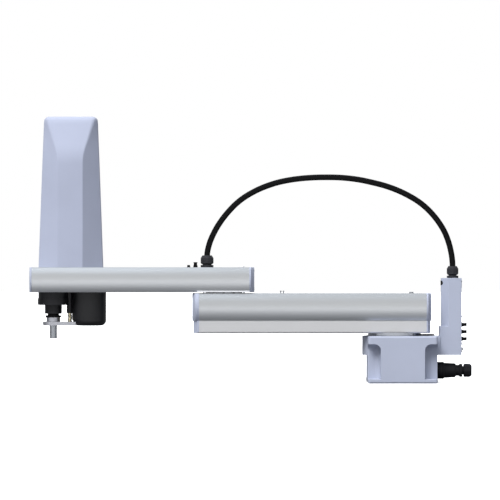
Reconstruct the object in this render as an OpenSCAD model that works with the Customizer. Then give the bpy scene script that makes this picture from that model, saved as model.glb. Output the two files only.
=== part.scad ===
// Four-axis horizontal articulated arm: two stacked extruded arms on a cast base,
// a lifting and turning spindle at the far end, and a cable conduit arched over the joints.
// X runs from the spindle (negative) to the base (positive), Z is up, and the origin is
// where the first joint's axis meets the mounting face.

/* [Reach] */
// Distance from the first joint's axis to the second's
arm1_reach = 600; // [500:10:700]
// Distance from the second joint's axis to the spindle's
arm2_reach = 600; // [500:10:700]
// Travel of the spindle
stroke = 400; // [200:10:420]

/* [Base] */
// Length of the base casting along X
base_len = 244; // [236:1:262]
// Depth of the base casting along Y
base_depth = 244; // [240:1:280]
// Height of the base casting
base_h = 165; // [158:1:190]
// Distance from the first axis to the base's front face
base_front = 96; // [92:1:102]
// Radius of the base's upright edges
base_edge_r = 10; // [6:1:14]
// Thickness of the mounting flange under the corner pockets
flange_t = 15; // [10:1:20]
// Width of each corner pocket
pocket_w = 45; // [38:1:47]
// Radius of the base's upper and lower edges
base_round = 6; // [3:0.5:9]
// Radius inside the corner pockets
pocket_r = 22; // [8:1:26]
// Thickness of the top slab above the pockets
slab_t = 28; // [27:1:34]
// Diameter of the mounting holes
bolt_hole_d = 14; // [11:1:18]
// Distance of the mounting holes from the base's edges
bolt_inset = 22; // [18:1:24]
// Radius of the round shoulder on the base
shoulder_r = 113; // [108:1:118]
// Height of the round shoulder
shoulder_h = 67; // [55:1:80]

/* [Cable post] */
// Least gap between the base casting and the post
post_gap = 10.5; // [5:0.5:12]
// Length of the post along X, panel included
post_len = 76; // [70:1:90]
// Depth of the post along Y
post_depth = 84; // [74:1:96]
// Height of the post's top above the mounting face
post_top = 368; // [330:1:400]
// Height of the post's step above the mounting face
post_step = 199; // [190:1:220]
// Set-back of the column above the step
post_set_back = 6; // [3:1:10]
// Chamfer on the column's inner edges
post_chamfer = 24; // [12:1:28]
// Wall of the post
post_wall = 5; // [3:0.5:8]
// Thickness of the post's rear panel
panel_t = 3; // [2:0.5:5]

/* [Joints] */
// Radius of the first joint's output flange
hub1_r = 93; // [88:1:96]
// Radius of the second joint's output flange
hub2_r = 64; // [60:1:65]
// Gap between the base's top and the first arm
joint1_gap = 10.5; // [5:0.5:12]
// Gap between the first arm's top and the second arm
joint2_gap = 4; // [4:0.5:12]
// Radius of the first joint's bearing
bearing1_r = 84; // [80:1:86]
// Radius of the second joint's bearing
bearing2_r = 66; // [60:1:67]
// Width of the servo motors at the first two joints
motor_w = 80; // [78:1:84]

/* [First arm] */
// Widest half width of the upper extrusion
arm1_hw = 100; // [96:1:106]
// Height of the upper extrusion
arm1_h = 96; // [90:1:104]
// Half width of the upper extrusion at its top and bottom edges
arm1_edge_hw = 82; // [80:1:88]
// Half width of the lower beam
beam_hw = 84; // [80:1:88]
// Height of the lower beam
beam_h = 43; // [36:1:54]
// Wall of both arms' extrusions
arm_wall = 8; // [6:0.5:10]
// Distance from the first axis to the arm's rear end
arm1_tail = 127; // [120:1:134]
// Clearance between the arm's rear end and the cable post as the arm swings
swing_gap = 2.5; // [2:0.5:6]
// Distance from the second axis to the arm's front end
arm1_nose = 110; // [104:1:125]
// Thickness of the rear end caps
rear_cap_t = 17; // [12:1:22]
// Thickness of the first arm's front end cap
front_cap_t = 24; // [16:1:26]

/* [Second arm] */
// Widest half width of the extrusion
arm2_hw = 96; // [92:1:102]
// Height of the extrusion
arm2_h = 87; // [84:1:96]
// Half width of the extrusion at its top and bottom edges
arm2_edge_hw = 80; // [78:1:86]
// Distance from the second axis to the arm's rear end
arm2_tail = 107; // [100:1:120]
// Distance from the spindle to the arm's front end
arm2_nose = 80; // [76:1:96]
// Thickness of the second arm's front end cap
nose_cap_t = 8; // [6:0.5:14]

/* [Spindle] */
// Diameter of the spindle shaft
shaft_d = 25; // [24:0.5:28]
// Diameter of the hole down the spindle shaft
shaft_bore_d = 18; // [8:0.5:18]
// Length of the shaft below the lift plate
shaft_drop = 46; // [36:1:60]
// Height of the rubber stop's neck under the spindle housing
stop_neck_h = 5.7; // [4:0.1:9]
// Thickness of the lift plate
plate_t = 12.5; // [8:0.5:14]
// Distance from the spindle to the lift screw
screw_offset = 58; // [56:1:62]
// Diameter of the lift screw
screw_d = 14.5; // [12:0.5:16]
// Radius of the spindle housing's flange
housing_r = 55; // [50:1:58]
// Height of the spindle housing's flange
housing_h = 45; // [36:1:50]
// Radius of the spindle housing's nose
nose_r = 30; // [29:0.5:34]
// Length of the spindle housing's nose
nose_h = 31; // [26:1:34]

/* [Drives and covers] */
// Gap between the lift screw's tube and the cover of its motor
tube_gap = 0.5; // [0.5:0.25:8]
// Radius of the cover over the lift motor
motor_cover_r = 58; // [54:1:60]
// Height of the cover over the lift motor
motor_cover_h = 118; // [110:1:130]
// Length of the tall cover at its foot
cover_len = 226; // [216:1:236]
// Depth of the tall cover at its foot
cover_depth = 156; // [144:1:158]
// Height of the tall cover
cover_h = 530; // [515:1:580]
// Distance from the spindle to the tall cover's front
cover_front = 51; // [44:1:58]
// How far each side of the tall cover leans in
cover_draft = 19; // [10:1:24]
// Half width of the tall cover's front face
cover_face_hw = 48; // [42:1:54]
// Wall of the covers
cover_wall = 3; // [2:0.5:5]

/* [Cable conduit] */
// Diameter of the conduit
conduit_d = 20.5; // [16:0.5:22]
// Radius of the conduit glands
gland_r = 22.5; // [20:0.5:25]
// Height of a gland with its nut
gland_h = 42; // [36:1:50]
// Distance from the second axis to the gland on the second arm
arm_gland_x = 59; // [50:1:70]
// Pitch of the air ports on the post and the arm
port_pitch = 25; // [20:1:28]
// Diameter of the air tube that fits the ports
tube_d = 6; // [4:0.5:8]

/* [Hidden] */
$fn = 96;
run_gap = 0.05; // running clearance of shafts in bearings
seat_gap = 0.3; // clearance between covers, belts and what they pass
mill = 1.5; // clearance milled round a part inside an extrusion
eps = 1; // how far a cut runs past a face

// Heights
arm1_z = base_h + joint1_gap;
ext_z = arm1_z + beam_h;
arm1_top = ext_z + arm1_h;
arm2_z = arm1_top + joint2_gap;
arm2_top = arm2_z + arm2_h;
// Places along X
base_cx = base_len / 2 - base_front;
base_rear = base_len - base_front;
cap_taper = rear_cap_t - 5;
swing_r = norm([arm1_tail - cap_taper, arm1_hw]);
post_x = max(base_rear + post_gap, swing_r + swing_gap);
j2_x = -arm1_reach;
spindle_x = j2_x - arm2_reach;
screw_x = spindle_x + screw_offset;
post_gland_back = 29.5;
post_gland_x = post_x + post_len - post_gland_back;
arm1_bulge_r = bulge_r(arm1_hw, arm1_edge_hw, arm1_h);
arm2_bulge_r = bulge_r(arm2_hw, arm2_edge_hw, arm2_h);

// First joint, inside the base
race1_h = 26;
race1_in = 67;
spline1_r = 60;
spline1_h = 20;
wave1_r = 46;
drive_cup_wall = 2;
drive_shaft_r = 7;
ledge1_z = base_h - race1_h;
spline1_z = ledge1_z - 8 - spline1_h;
cradle1 = 3;
hub_run = 0.5;
hub_pcd_r = 50;
hub_screw_r = 3;
hub_screw_len = 24;
hub_hole_r = 3.2;
hub_hole_depth = 16;
beam_floor = 10;
bottom_cover_t = 5;
bottom_cover_r = 66;
// Second joint, inside the first arm
race2_flange_r = 76;
race2_flange_t = 12;
race2_in = 50;
race2_h = 32;
spline2_r = 68;
spline2_h = 22;
wave2_r = 42;
ring_run = 0.5;
race2_z = arm1_top - race2_h;
spline2_z = race2_z - spline2_h;
ring_screw_pcd_r = (bearing2_r + race2_flange_r) / 2;
ring_screws = 12;
ring_screw_r = 2;
ring_screw_len = 16;
ring_head_r = 3.5;
ring_head_h = 2.8;
// Motors
motor_flange_t = 8;
small_motor_w = 56;
j2_motor_floor = 30;
lift_motor_len = 86;
turn_motor_len = 96;
small_motor_pilot_r = 20;
motor_r = 7;
// Corner screw ports of the extrusions
port_r = 7;
port_hole_r = 2.6;
port_y = 60;
cap_screw_r = 2.5;
cap_head_r = 5;
cap_head_h = 3;
cap_sink = 2;
// Spindle drive, inside the second arm
sleeve_r = 24;
lower_race_r = 34;
lower_race_h = 22;
upper_race_r = 32;
upper_race_h = arm_wall + 5;
r_pulley_r = 35;
r_pulley_h = 14;
r_motor_pulley_r = 17;
r_belt_z = arm2_top - arm_wall - 28;
z_nut_r = 16;
z_race_r = 22;
z_race_h = arm_wall + 4;
z_pulley_r = 19;
z_pulley_h = 14;
z_motor_pulley_r = 13;
z_belt_z = arm2_z + z_race_h + 2;
belt_t = 2;
belt_h = 11;
motor_shaft_r = 6;
shaft_top = arm2_top + stroke + 15;
screw_top = z_belt_z + 40 + stroke + 10;
// Lift plate and its bearing
collar_r = 24.4;
collar_h = 15.5;
lift_race_r = 19.5;
bumper_r = 27;
bumper_h = 7;
bumper_neck_r = 20;
housing_z = arm2_z - housing_h - nose_h;
housing_pcd_r = 43;
housing_screw_r = 4.6;
housing_screw_sink = 6;
collar_top = housing_z - seat_gap - stop_neck_h - bumper_h;
plate_top = collar_top - collar_h;
plate_z = plate_top - plate_t;
plate_r = 37;
plate_len = screw_offset + 25.5;
plate_corner_r = 6;
plate_gap = 1.5;
screw_end_r = 5;
snap_h = 1.5;
snap_groove = 1;
stop_ring_r = 16.5;
stop_ring_h = 5;
tube_wall = 3;
screw_tube_r = screw_d / 2 + 1 + tube_wall;
screw_tube_z = plate_top + 30;
z_belt_centres = screw_tube_r + tube_gap + motor_cover_r;
z_motor_x = screw_x + z_belt_centres;
r_belt_centres = cover_len - cover_front - 53;
r_motor_x = spindle_x + r_belt_centres;
// Tall cover
cover_cx = spindle_x - cover_front + cover_len / 2;
cover_chamfer_y = 52;
cover_edge_r = 10;
cover_bevel_h = 134;
cover_bevel_in = 42;
cover_top_edge = 11;
cover_top_hw = cover_len / 2 - cover_draft - cover_top_edge;
// Glands, plugs and ports
gland_base_h = 8;
gland_neck_r = 16;
gland_seat = 14;
conduit_seat_r = 7;
plug_r = 8.5;
plug_h = 4.5;
arm1_plug_back = 67;
arm1_plug_x = arm1_tail - arm1_plug_back;
arm1_screw_from_j2 = 205;
arm1_screw_x = j2_x + arm1_screw_from_j2;
arm1_screw_pitch = 9.5;
top_screw_r = 2;
top_head_r = 2.6;
top_head_h = 9;
arm2_plug_x = 64;
air_x = arm_gland_x + 41;
user_x = air_x + 24;
port_depth = 14;
dsub_len = 53;
dsub_w = 12.5;
port1_z = base_h - 11;
user_z = base_h - 47;
latch_w = 12;
latch_rise = 24; // from the connector's middle to the latch's hinge
latch_drop = 21;
latch_out = 9.5;
// Robot connector on the base
plug_z = 43;
plug_flange_r = 29.8;
plug_body_r = 26.6;
plug_neck_r = 19.2;
plug_ring_r = 23.2;
plug_throat_r = 15;
plug_bore_r = 11;
cable_bore_r = 9;
plug_end = 123.5;
plug_nut_h = 26;
plug_nut_r = 23.4;
plug_nut_z = plug_end - plug_nut_h;

// Conduit: share of the way from the arm's gland to the post's, and height above the line
// between the tops of the two glands
arch = [
    [0.0035, 22], [0.0145, 54], [0.038, 97], [0.071, 140], [0.111, 180], [0.150, 209],
    [0.196, 234], [0.242, 253], [0.294, 269], [0.354, 281], [0.419, 289], [0.484, 293],
    [0.550, 294], [0.615, 290], [0.672, 282], [0.730, 271], [0.788, 254], [0.841, 232],
    [0.8813, 209], [0.9163, 181], [0.9455, 150], [0.9685, 117], [0.9847, 81], [0.9944, 47],
    [0.9986, 22]
];
arch_top = 12; // the point of the arch where its two spans meet
gland_a = [j2_x - arm_gland_x, arm2_top];
gland_b = [post_gland_x, post_top];
route = concat(
    [gland_a + [0, gland_seat], gland_a + [0, gland_h]],
    [for (p = arch) gland_a + p[0] * (gland_b - gland_a) + [0, gland_h + p[1]]],
    [gland_b + [0, gland_h], gland_b + [0, gland_seat]]
);
conduit_sides = 12;

// Shared shapes

// Radius of the side that bulges from the edge half width to the full half width
function bulge_r(hw, edge_hw, h) = (pow(hw - edge_hw, 2) + pow(h / 2, 2)) / (2 * (hw - edge_hw));

// A rectangle with round corners, centred
module round_rect(x, y, r) {
    square([x - 2 * r, y], center = true);
    square([x, y - 2 * r], center = true);
    for (sx = [-1, 1], sy = [-1, 1])
        translate([sx * (x / 2 - r), sy * (y / 2 - r)]) circle(r);
}

// Section of an arm: flat top and bottom, sides bulged outwards
module bulged_2d(hw, h, r) {
    translate([-(hw - r), 0]) square([2 * (hw - r), h]);
    for (s = [-1, 1])
        intersection() {
            translate([s * (hw - r), h / 2]) circle(r, $fn = 180);
            translate([-hw, 0]) square([2 * hw, h]);
        }
}

// Screw ports in the four corners of a hollow section
module port_places(h) {
    for (sy = [-1, 1], z = [arm_wall + 4, h - arm_wall - 4])
        translate([sy * port_y, z]) children();
}

// Hollow section with its screw ports
module hollow_2d(hw, h, r) {
    difference() {
        union() {
            difference() {
                bulged_2d(hw, h, r);
                translate([0, arm_wall]) bulged_2d(hw - arm_wall, h - 2 * arm_wall, r - arm_wall);
            }
            intersection() {
                bulged_2d(hw, h, r);
                port_places(h) circle(port_r);
            }
        }
        port_places(h) circle(port_hole_r);
    }
}

// Runs a section drawn in Y and Z along X
module along_x(x0, x1) {
    translate([x0, 0, 0]) rotate([90, 0, 90]) linear_extrude(x1 - x0) children();
}

// Ring or disc on the axis at x
module ring(x, z, h, ro, ri = 0) {
    translate([x, 0, z]) difference() {
        cylinder(h = h, r = ro);
        if (ri > 0) translate([0, 0, -eps]) cylinder(h = h + 2 * eps, r = ri);
    }
}

// Children spaced round a circle on the axis at x
module around(x, r, n, a0 = 0) {
    for (i = [0 : n - 1])
        translate([x, 0, 0]) rotate(a0 + i * 360 / n) translate([r, 0, 0]) children();
}

// Cap-head screw standing on z = 0, with a hexagon socket
module cap_screw(r, len, head_r, head_h) {
    difference() {
        union() {
            cylinder(h = head_h, r = head_r, $fn = 48);
            translate([0, 0, -len]) cylinder(h = len, r = r, $fn = 48);
        }
        translate([0, 0, head_h * 0.4]) cylinder(h = head_h, r = r * 0.9, $fn = 6);
    }
}

// Servo motor hanging below z = 0 with its flange on top and a hole for the driven shaft
module servo(w, len, bore_r) {
    difference() {
        union() {
            translate([0, 0, -motor_flange_t]) linear_extrude(motor_flange_t) round_rect(w, w, motor_r);
            translate([0, 0, -len]) linear_extrude(len - motor_flange_t)
                round_rect(w - 6, w - 6, motor_r);
            translate([0, 0, -len - 12]) linear_extrude(12) round_rect(w - 18, w - 18, motor_r);
        }
        translate([0, 0, -30]) cylinder(h = 31, r = bore_r);
    }
}

// Base

// Side view of a corner pocket: round at the top, square at the flange
module pocket_side_2d() {
    h = base_h - slab_t - flange_t;
    round_rect(2 * pocket_w, h, pocket_r);
    translate([-pocket_w, -h / 2]) square([2 * pocket_w, h / 2]);
}

module pocket(sx, sy) {
    mid_z = (base_h - slab_t + flange_t) / 2;
    translate([sx > 0 ? base_rear : -base_front, sy * base_depth / 2, mid_z]) intersection() {
        linear_extrude(base_h, center = true) round_rect(2 * pocket_w, 2 * pocket_w, pocket_r);
        rotate([90, 0, 0]) linear_extrude(2 * pocket_w + 2, center = true) pocket_side_2d();
        rotate([90, 0, 90]) linear_extrude(2 * pocket_w + 2, center = true) pocket_side_2d();
    }
}

module bolt_places() {
    for (sx = [-1, 1], sy = [-1, 1])
        translate([base_cx + sx * (base_len / 2 - bolt_inset), sy * (base_depth / 2 - bolt_inset), 0])
            children();
}

// Block whose upright, upper and lower edges are all rounded
module base_body() translate([base_cx, 0, 0]) intersection() {
    linear_extrude(base_h) round_rect(base_len, base_depth, base_edge_r);
    translate([0, 0, base_h / 2]) rotate([90, 0, 0]) linear_extrude(base_depth + 2, center = true)
        round_rect(base_len, base_h, base_round);
    translate([0, 0, base_h / 2]) rotate([90, 0, 90]) linear_extrude(base_len + 2, center = true)
        round_rect(base_depth, base_h, base_round);
}

module base_casting() color([0.70, 0.73, 0.80]) {
    difference() {
        union() {
            base_body();
            translate([0, 0, base_h - shoulder_h]) cylinder(h = shoulder_h, r = shoulder_r);
            translate([base_rear - base_edge_r, -post_depth / 2 - 6, base_h - shoulder_h])
                cube([post_x - base_rear + base_edge_r, post_depth + 12, shoulder_h]);
        }
        for (sx = [-1, 1], sy = [-1, 1]) pocket(sx, sy);
        bolt_places() translate([0, 0, -eps]) cylinder(h = flange_t + 2 * eps, d = bolt_hole_d);
        // seat of the bearing, seat of the reducer and room for the motor
        translate([0, 0, ledge1_z]) cylinder(h = race1_h + eps, r = bearing1_r);
        translate([0, 0, spline1_z]) cylinder(h = ledge1_z - spline1_z + eps, r = spline1_r);
        translate([0, 0, -eps]) linear_extrude(spline1_z + 2 * eps)
            round_rect(motor_w + 4, motor_w + 4, motor_r + 2);
        translate([0, 0, -eps]) cylinder(h = bottom_cover_t + eps, r = bottom_cover_r + seat_gap);
        // way for the cables from the motor room to the connector and up to the post
        translate([motor_w / 2, 0, plug_z]) rotate([0, 90, 0]) cylinder(h = base_rear, r = 16);
        translate([motor_w / 2, 0, base_h - shoulder_h / 2 - 8]) rotate([0, 90, 0])
            cylinder(h = post_x, r = 15);
    }
}

module base_bottom_cover() color([0.55, 0.56, 0.58]) ring(0, 0, bottom_cover_t, bottom_cover_r);

module j1_motor() color([0.16, 0.16, 0.17])
    translate([0, 0, spline1_z]) servo(motor_w, spline1_z - 20, drive_shaft_r + run_gap);

module j1_bearing_ring() color([0.6, 0.61, 0.63]) ring(0, ledge1_z, race1_h, bearing1_r, race1_in);

module j1_circular_spline() color([0.5, 0.51, 0.53]) ring(0, spline1_z, spline1_h, spline1_r, wave1_r + 4);

// Thin cup whose toothed lip runs in the circular spline
module drive_cup(z, top, r, lip_h) {
    difference() {
        union() {
            ring(0, z, lip_h, r + 4 - 2 * run_gap);
            ring(0, z + lip_h, top - z - lip_h, r + 2);
        }
        translate([0, 0, z - eps]) cylinder(h = top - z - 6 + eps, r = r);
        translate([0, 0, z]) cylinder(h = top - z + eps, r = drive_shaft_r + 8);
    }
}

module j1_flexspline() color([0.66, 0.62, 0.5])
    drive_cup(spline1_z + 1, ledge1_z + 2, wave1_r, spline1_h - 2);

// Elliptical plug, drawn round, with the shaft that enters the motor
module wave_plug(z, r, h) {
    ring(0, z, h, r - 2 * run_gap);
    ring(0, z - 26, 27, drive_shaft_r);
}

module j1_wave_generator() color([0.72, 0.72, 0.74]) wave_plug(spline1_z + 2, wave1_r, spline1_h - 6);

module j1_output_hub() color([0.75, 0.76, 0.78]) {
    difference() {
        union() {
            ring(0, base_h + hub_run, joint1_gap - hub_run + cradle1, hub1_r);
            ring(0, ledge1_z + 2, race1_h - 2 + hub_run, race1_in - run_gap);
        }
        translate([0, 0, -eps]) along_x(-hub1_r - eps, hub1_r + eps)
            translate([0, arm1_z + eps]) beam_outline_2d();
        translate([0, 0, ledge1_z]) cylinder(h = arm1_z - ledge1_z + eps, r = drive_shaft_r + 8);
        around(0, hub_pcd_r, 8) translate([0, 0, arm1_z - hub_hole_depth])
            cylinder(h = 2 * hub_hole_depth, r = hub_hole_r, $fn = 48);
    }
}

// Cable post

module post_plan_2d(x0, chamfer) {
    x1 = post_x + post_len - panel_t;
    y = post_depth / 2;
    polygon([
        [x0 + chamfer, -y], [x1, -y], [x1, y], [x0 + chamfer, y],
        [x0, y - chamfer], [x0, chamfer - y]
    ]);
}

module cable_post() color([0.70, 0.73, 0.80]) {
    x1 = post_x + post_len - panel_t;
    z0 = base_h - shoulder_h;
    in_d = post_depth - 2 * post_wall;
    difference() {
        union() {
            translate([0, 0, z0]) linear_extrude(post_step - z0) post_plan_2d(post_x, 0.5);
            translate([0, 0, post_step]) linear_extrude(post_top - post_step)
                post_plan_2d(post_x + post_set_back, post_chamfer);
        }
        // hollow, open at the rear where the panel closes it
        translate([post_x + post_wall, -in_d / 2, z0 + post_wall])
            cube([post_len, in_d, post_step - z0 - 2 * post_wall]);
        translate([post_x + post_set_back + post_chamfer + 1, -in_d / 2, post_step - 2 * post_wall])
            cube([post_len, in_d, post_top - post_step + post_wall]);
        // gland thread and the cable hole from the base
        translate([post_gland_x, 0, post_top - post_wall - eps])
            cylinder(h = post_wall + 2 * eps, r = gland_neck_r);
        translate([post_x - eps, 0, base_h - shoulder_h / 2 - 8]) rotate([0, 90, 0])
            cylinder(h = post_wall + 2 * eps, r = 15);
        post_screw_places() translate([0, 0, -12]) cylinder(h = 13, r = 1.6, $fn = 48);
        // sunk screw on the inner face near the top
        translate([post_x + post_set_back - eps, 0, post_top - 17]) rotate([0, 90, 0]) {
            cylinder(h = eps + 1.5, r = 9);
            cylinder(h = 12, r = 3.2, $fn = 48);
        }
    }
}

module post_screw_places() {
    y = post_depth / 2 - post_wall / 2;
    for (sy = [-1, 1], z = [base_h - shoulder_h + 12, (base_h - shoulder_h + post_top) / 2, post_top - 12])
        translate([post_x + post_len - panel_t, sy * y, z]) rotate([0, 90, 0]) children();
}

module post_rear_panel() color([0.72, 0.75, 0.82]) {
    z0 = base_h - shoulder_h;
    // bare raised plate near the top
    translate([post_x + post_len, -20, post_top - 35]) cube([2, 40, 32]);
    difference() {
        translate([post_x + post_len - panel_t, -post_depth / 2, z0])
            cube([panel_t, post_depth, post_top - z0]);
        post_screw_places() translate([0, 0, -eps]) cylinder(h = panel_t + 2 * eps, r = 1.8, $fn = 48);
        for (i = [0 : 2]) translate([post_x, 0, port1_z + i * port_pitch]) rotate([0, 90, 0])
            cylinder(h = post_len + eps, r = 5);
        translate([post_x, -dsub_len / 2 + 5, user_z - dsub_w / 2 + 1])
            cube([post_len + eps, dsub_len - 10, dsub_w - 2]);
    }
}

module post_screws() color([0.2, 0.2, 0.22]) {
    post_screw_places() translate([0, 0, panel_t]) cap_screw(1.5, 10, 2.8, 1.6);
    translate([post_x + post_set_back + 1.5, 0, post_top - 17]) rotate([0, -90, 0])
        cap_screw(3, 6, 8.7, 3);
}

// Push-in fitting for an air tube, standing on z = 0
module air_port(h) {
    difference() {
        union() {
            cylinder(h = h * 0.45, r1 = 8, r2 = 6.4, $fn = 48);
            cylinder(h = h, r = 5.6, $fn = 48);
            translate([0, 0, h - 3]) cylinder(h = 3, r = 6.6, $fn = 48);
            translate([0, 0, -panel_t]) cylinder(h = panel_t, r = 4.8, $fn = 48);
        }
        translate([0, 0, h - port_depth]) cylinder(h = port_depth + eps, d = tube_d, $fn = 48);
    }
}

module base_air_ports() color([0.1, 0.1, 0.1])
    for (i = [0 : 2])
        translate([post_x + post_len, 0, port1_z + i * port_pitch]) rotate([0, 90, 0]) air_port(20);

// Rectangular signal connector standing on z = 0, long side along Y
module user_connector(h) {
    difference() {
        union() {
            linear_extrude(2) round_rect(dsub_w, dsub_len, 2);
            linear_extrude(h) round_rect(dsub_w - 3, dsub_len - 14, 2.5);
            translate([0, 0, -panel_t]) linear_extrude(panel_t) round_rect(dsub_w - 3, dsub_len - 14, 2.5);
            for (s = [-1, 1]) translate([0, s * (dsub_len / 2 - 4), 0]) cylinder(h = h - 1, r = 2.8, $fn = 6);
        }
        translate([0, 0, 2]) linear_extrude(h) round_rect(dsub_w - 5, dsub_len - 16, 1.5);
    }
}

module base_user_connector() color([0.12, 0.12, 0.13]) {
    translate([post_x + post_len, 0, user_z]) rotate([0, 90, 0]) user_connector(7);
    // spring latch on a plate above the shell, standing open
    translate([post_x + post_len, -latch_w / 2, user_z]) cube([2, latch_w, latch_rise]);
    translate([post_x + post_len, -latch_w / 2, user_z + latch_rise]) rotate([-90, 0, 0])
        linear_extrude(latch_w) polygon([
            [0, 0], [2, 0], [latch_out - 2.5, latch_drop * 0.45], [latch_out, latch_drop],
            [latch_out - 1.6, latch_drop], [latch_out - 4.4, latch_drop * 0.5], [1.5, 4], [0, 4]
        ]);
}

// Gland screwed into a wall, standing on z = 0
module gland_body() {
    difference() {
        union() {
            intersection() {
                cylinder(h = gland_base_h, r = gland_r);
                cylinder(h = gland_base_h, r = gland_r * 1.06, $fn = 8);
            }
            cylinder(h = gland_seat, r = gland_neck_r);
            translate([0, 0, -post_wall]) cylinder(h = post_wall, r = gland_neck_r - 0.1);
        }
        translate([0, 0, -post_wall - eps]) cylinder(h = gland_h, r = conduit_seat_r);
    }
}

// Dome nut that grips the conduit
module gland_nut() {
    z0 = gland_base_h + 3;
    inner = conduit_d / 2 + seat_gap;
    difference() {
        intersection() {
            rotate_extrude() polygon([
                [0, z0], [gland_r - 4, z0], [gland_r, z0 + 4], [gland_r, gland_h - 9],
                [gland_r - 6, gland_h], [0, gland_h]
            ]);
            cylinder(h = gland_h, r = gland_r * 1.05, $fn = 8);
        }
        translate([0, 0, gland_seat]) cylinder(h = gland_h, r = inner);
        translate([0, 0, -eps]) cylinder(h = gland_seat + eps + seat_gap, r = gland_neck_r + run_gap);
    }
}

module base_gland_body() color([0.13, 0.13, 0.14]) translate([post_gland_x, 0, post_top]) gland_body();
module base_gland_nut() color([0.09, 0.09, 0.1]) translate([post_gland_x, 0, post_top]) gland_nut();

// Robot connector

module on_plug_axis() translate([base_rear, 0, plug_z]) rotate([0, 90, 0]) children();

module robot_connector_socket() color([0.1, 0.1, 0.11]) on_plug_axis() difference() {
    union() {
        linear_extrude(4) round_rect(50, 50, 8);
        cylinder(h = 16, r = plug_flange_r);
        translate([0, 0, -15]) cylinder(h = 15, r = 15.8);
    }
    translate([0, 0, -16]) cylinder(h = 40, r = plug_bore_r);
}

module robot_connector_shell() color([0.08, 0.08, 0.09]) on_plug_axis() rotate_extrude() polygon([
    [plug_bore_r, 16.2], [plug_flange_r, 16.2], [plug_flange_r, 24], [plug_body_r, 28],
    [plug_body_r - 1.8, plug_nut_z - 34], [plug_body_r - 3.4, plug_nut_z - 30.5],
    [plug_neck_r, plug_nut_z - 28.5], [plug_neck_r, plug_nut_z - 19.5], [plug_ring_r, plug_nut_z - 15],
    [plug_ring_r, plug_nut_z - 7.5], [plug_throat_r, plug_nut_z - 6], [plug_throat_r, plug_nut_z],
    [plug_bore_r, plug_nut_z]
]);

module robot_connector_nut() color([0.1, 0.1, 0.1]) on_plug_axis() intersection() {
    rotate_extrude() polygon([
        [cable_bore_r, plug_nut_z + 0.2], [plug_throat_r + run_gap, plug_nut_z + 0.2],
        [plug_throat_r + run_gap, plug_nut_z - 2], [plug_nut_r - 2, plug_nut_z - 2],
        [plug_nut_r, plug_nut_z + 1], [plug_nut_r, plug_end - 7], [plug_nut_r - 4.5, plug_end],
        [cable_bore_r, plug_end]
    ]);
    translate([0, 0, plug_nut_z - 12]) cylinder(h = plug_nut_h + 20, r = plug_nut_r + 1, $fn = 8);
}

// First arm

module beam_outline_2d() {
    c = 4;
    polygon([
        [c - beam_hw, 0], [beam_hw - c, 0], [beam_hw, c], [beam_hw, beam_h - 1.5], [beam_hw - 1.5, beam_h],
        [1.5 - beam_hw, beam_h], [-beam_hw, beam_h - 1.5], [-beam_hw, c]
    ]);
}

arm1_x0 = j2_x - arm1_nose + front_cap_t;
arm1_x1 = arm1_tail - rear_cap_t;

module arm1_lower_beam() color([0.80, 0.80, 0.82]) {
    difference() {
        translate([0, 0, arm1_z]) along_x(arm1_x0, arm1_x1) difference() {
            beam_outline_2d();
            translate([-beam_hw + arm_wall, beam_floor]) square([2 * (beam_hw - arm_wall), beam_h]);
        }
        ring(0, arm1_z - eps, beam_floor + 2 * eps, drive_shaft_r + 8);
        around(0, hub_pcd_r, 8) translate([0, 0, arm1_z - eps])
            cylinder(h = beam_floor + 2 * eps, r = hub_hole_r, $fn = 48);
    }
}

module arm1_hub_screws() color([0.2, 0.2, 0.22])
    around(0, hub_pcd_r, 8) translate([0, 0, arm1_z + beam_floor])
        cap_screw(hub_screw_r, hub_screw_len, 5, 6);

module arm1_extrusion() color([0.78, 0.79, 0.80]) {
    difference() {
        translate([0, 0, ext_z]) along_x(arm1_x0, arm1_x1) hollow_2d(arm1_hw, arm1_h, arm1_bulge_r);
        // seat of the second joint and the room milled for its reducer and motor
        ring(j2_x, arm1_top - arm_wall - eps, arm_wall + 2 * eps, bearing2_r);
        ring(j2_x, ext_z + arm_wall + eps, arm1_h - 2 * arm_wall - eps, race2_flange_r + mill);
        ring(j2_x, ext_z - eps, arm_wall + 3 * eps, motor_w * 0.75);
        around(j2_x, ring_screw_pcd_r, ring_screws) translate([0, 0, arm1_top - arm_wall - eps])
            cylinder(h = arm_wall + 2 * eps, r = 2.2, $fn = 48);
        // access to the first joint's screws, and the grease port
        ring(0, ext_z - eps, arm_wall + 2 * eps, 62);
        translate([arm1_plug_x, 0, arm1_top - arm_wall - eps])
            cylinder(h = arm_wall + 2 * eps, r = 5, $fn = 48);
        arm1_top_screws() translate([0, 0, arm1_top - arm_wall - eps])
            cylinder(h = arm_wall + 2 * eps, r = 2.1, $fn = 48);
    }
}

// End cap that continues a section, its plan chamfered at the free end
module end_cap(x_seat, x_end, hw, h, chamfer_x, chamfer_y) {
    d = sign(x_end - x_seat);
    intersection() {
        along_x(min(x_seat, x_end), max(x_seat, x_end)) children();
        translate([0, 0, -eps]) linear_extrude(h + 2 * eps) polygon([
            [x_seat - d, -hw - 1], [x_end - d * chamfer_x, -hw - 1], [x_end, -hw + chamfer_y],
            [x_end, hw - chamfer_y], [x_end - d * chamfer_x, hw + 1], [x_seat - d, hw + 1]
        ]);
    }
}

// Stepped holes through a cap for its four sunk screws
module cap_holes(x_end, d, h) {
    x_in = x_end - d * cap_sink;
    along_x(x_end - 30, x_end + 30) port_places(h) circle(cap_screw_r + 0.3, $fn = 48);
    along_x(min(x_in, x_end + d), max(x_in, x_end + d)) port_places(h)
        circle(cap_head_r + 0.4, $fn = 48);
}

module cap_screw_set(x_end, d, h, len) {
    port_y_places = [-port_y, port_y];
    for (y = port_y_places, z = [arm_wall + 4, h - arm_wall - 4])
        translate([x_end - d * cap_sink, y, z]) rotate([0, d * 90, 0])
            cap_screw(cap_screw_r, len, cap_head_r, cap_head_h);
}

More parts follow.
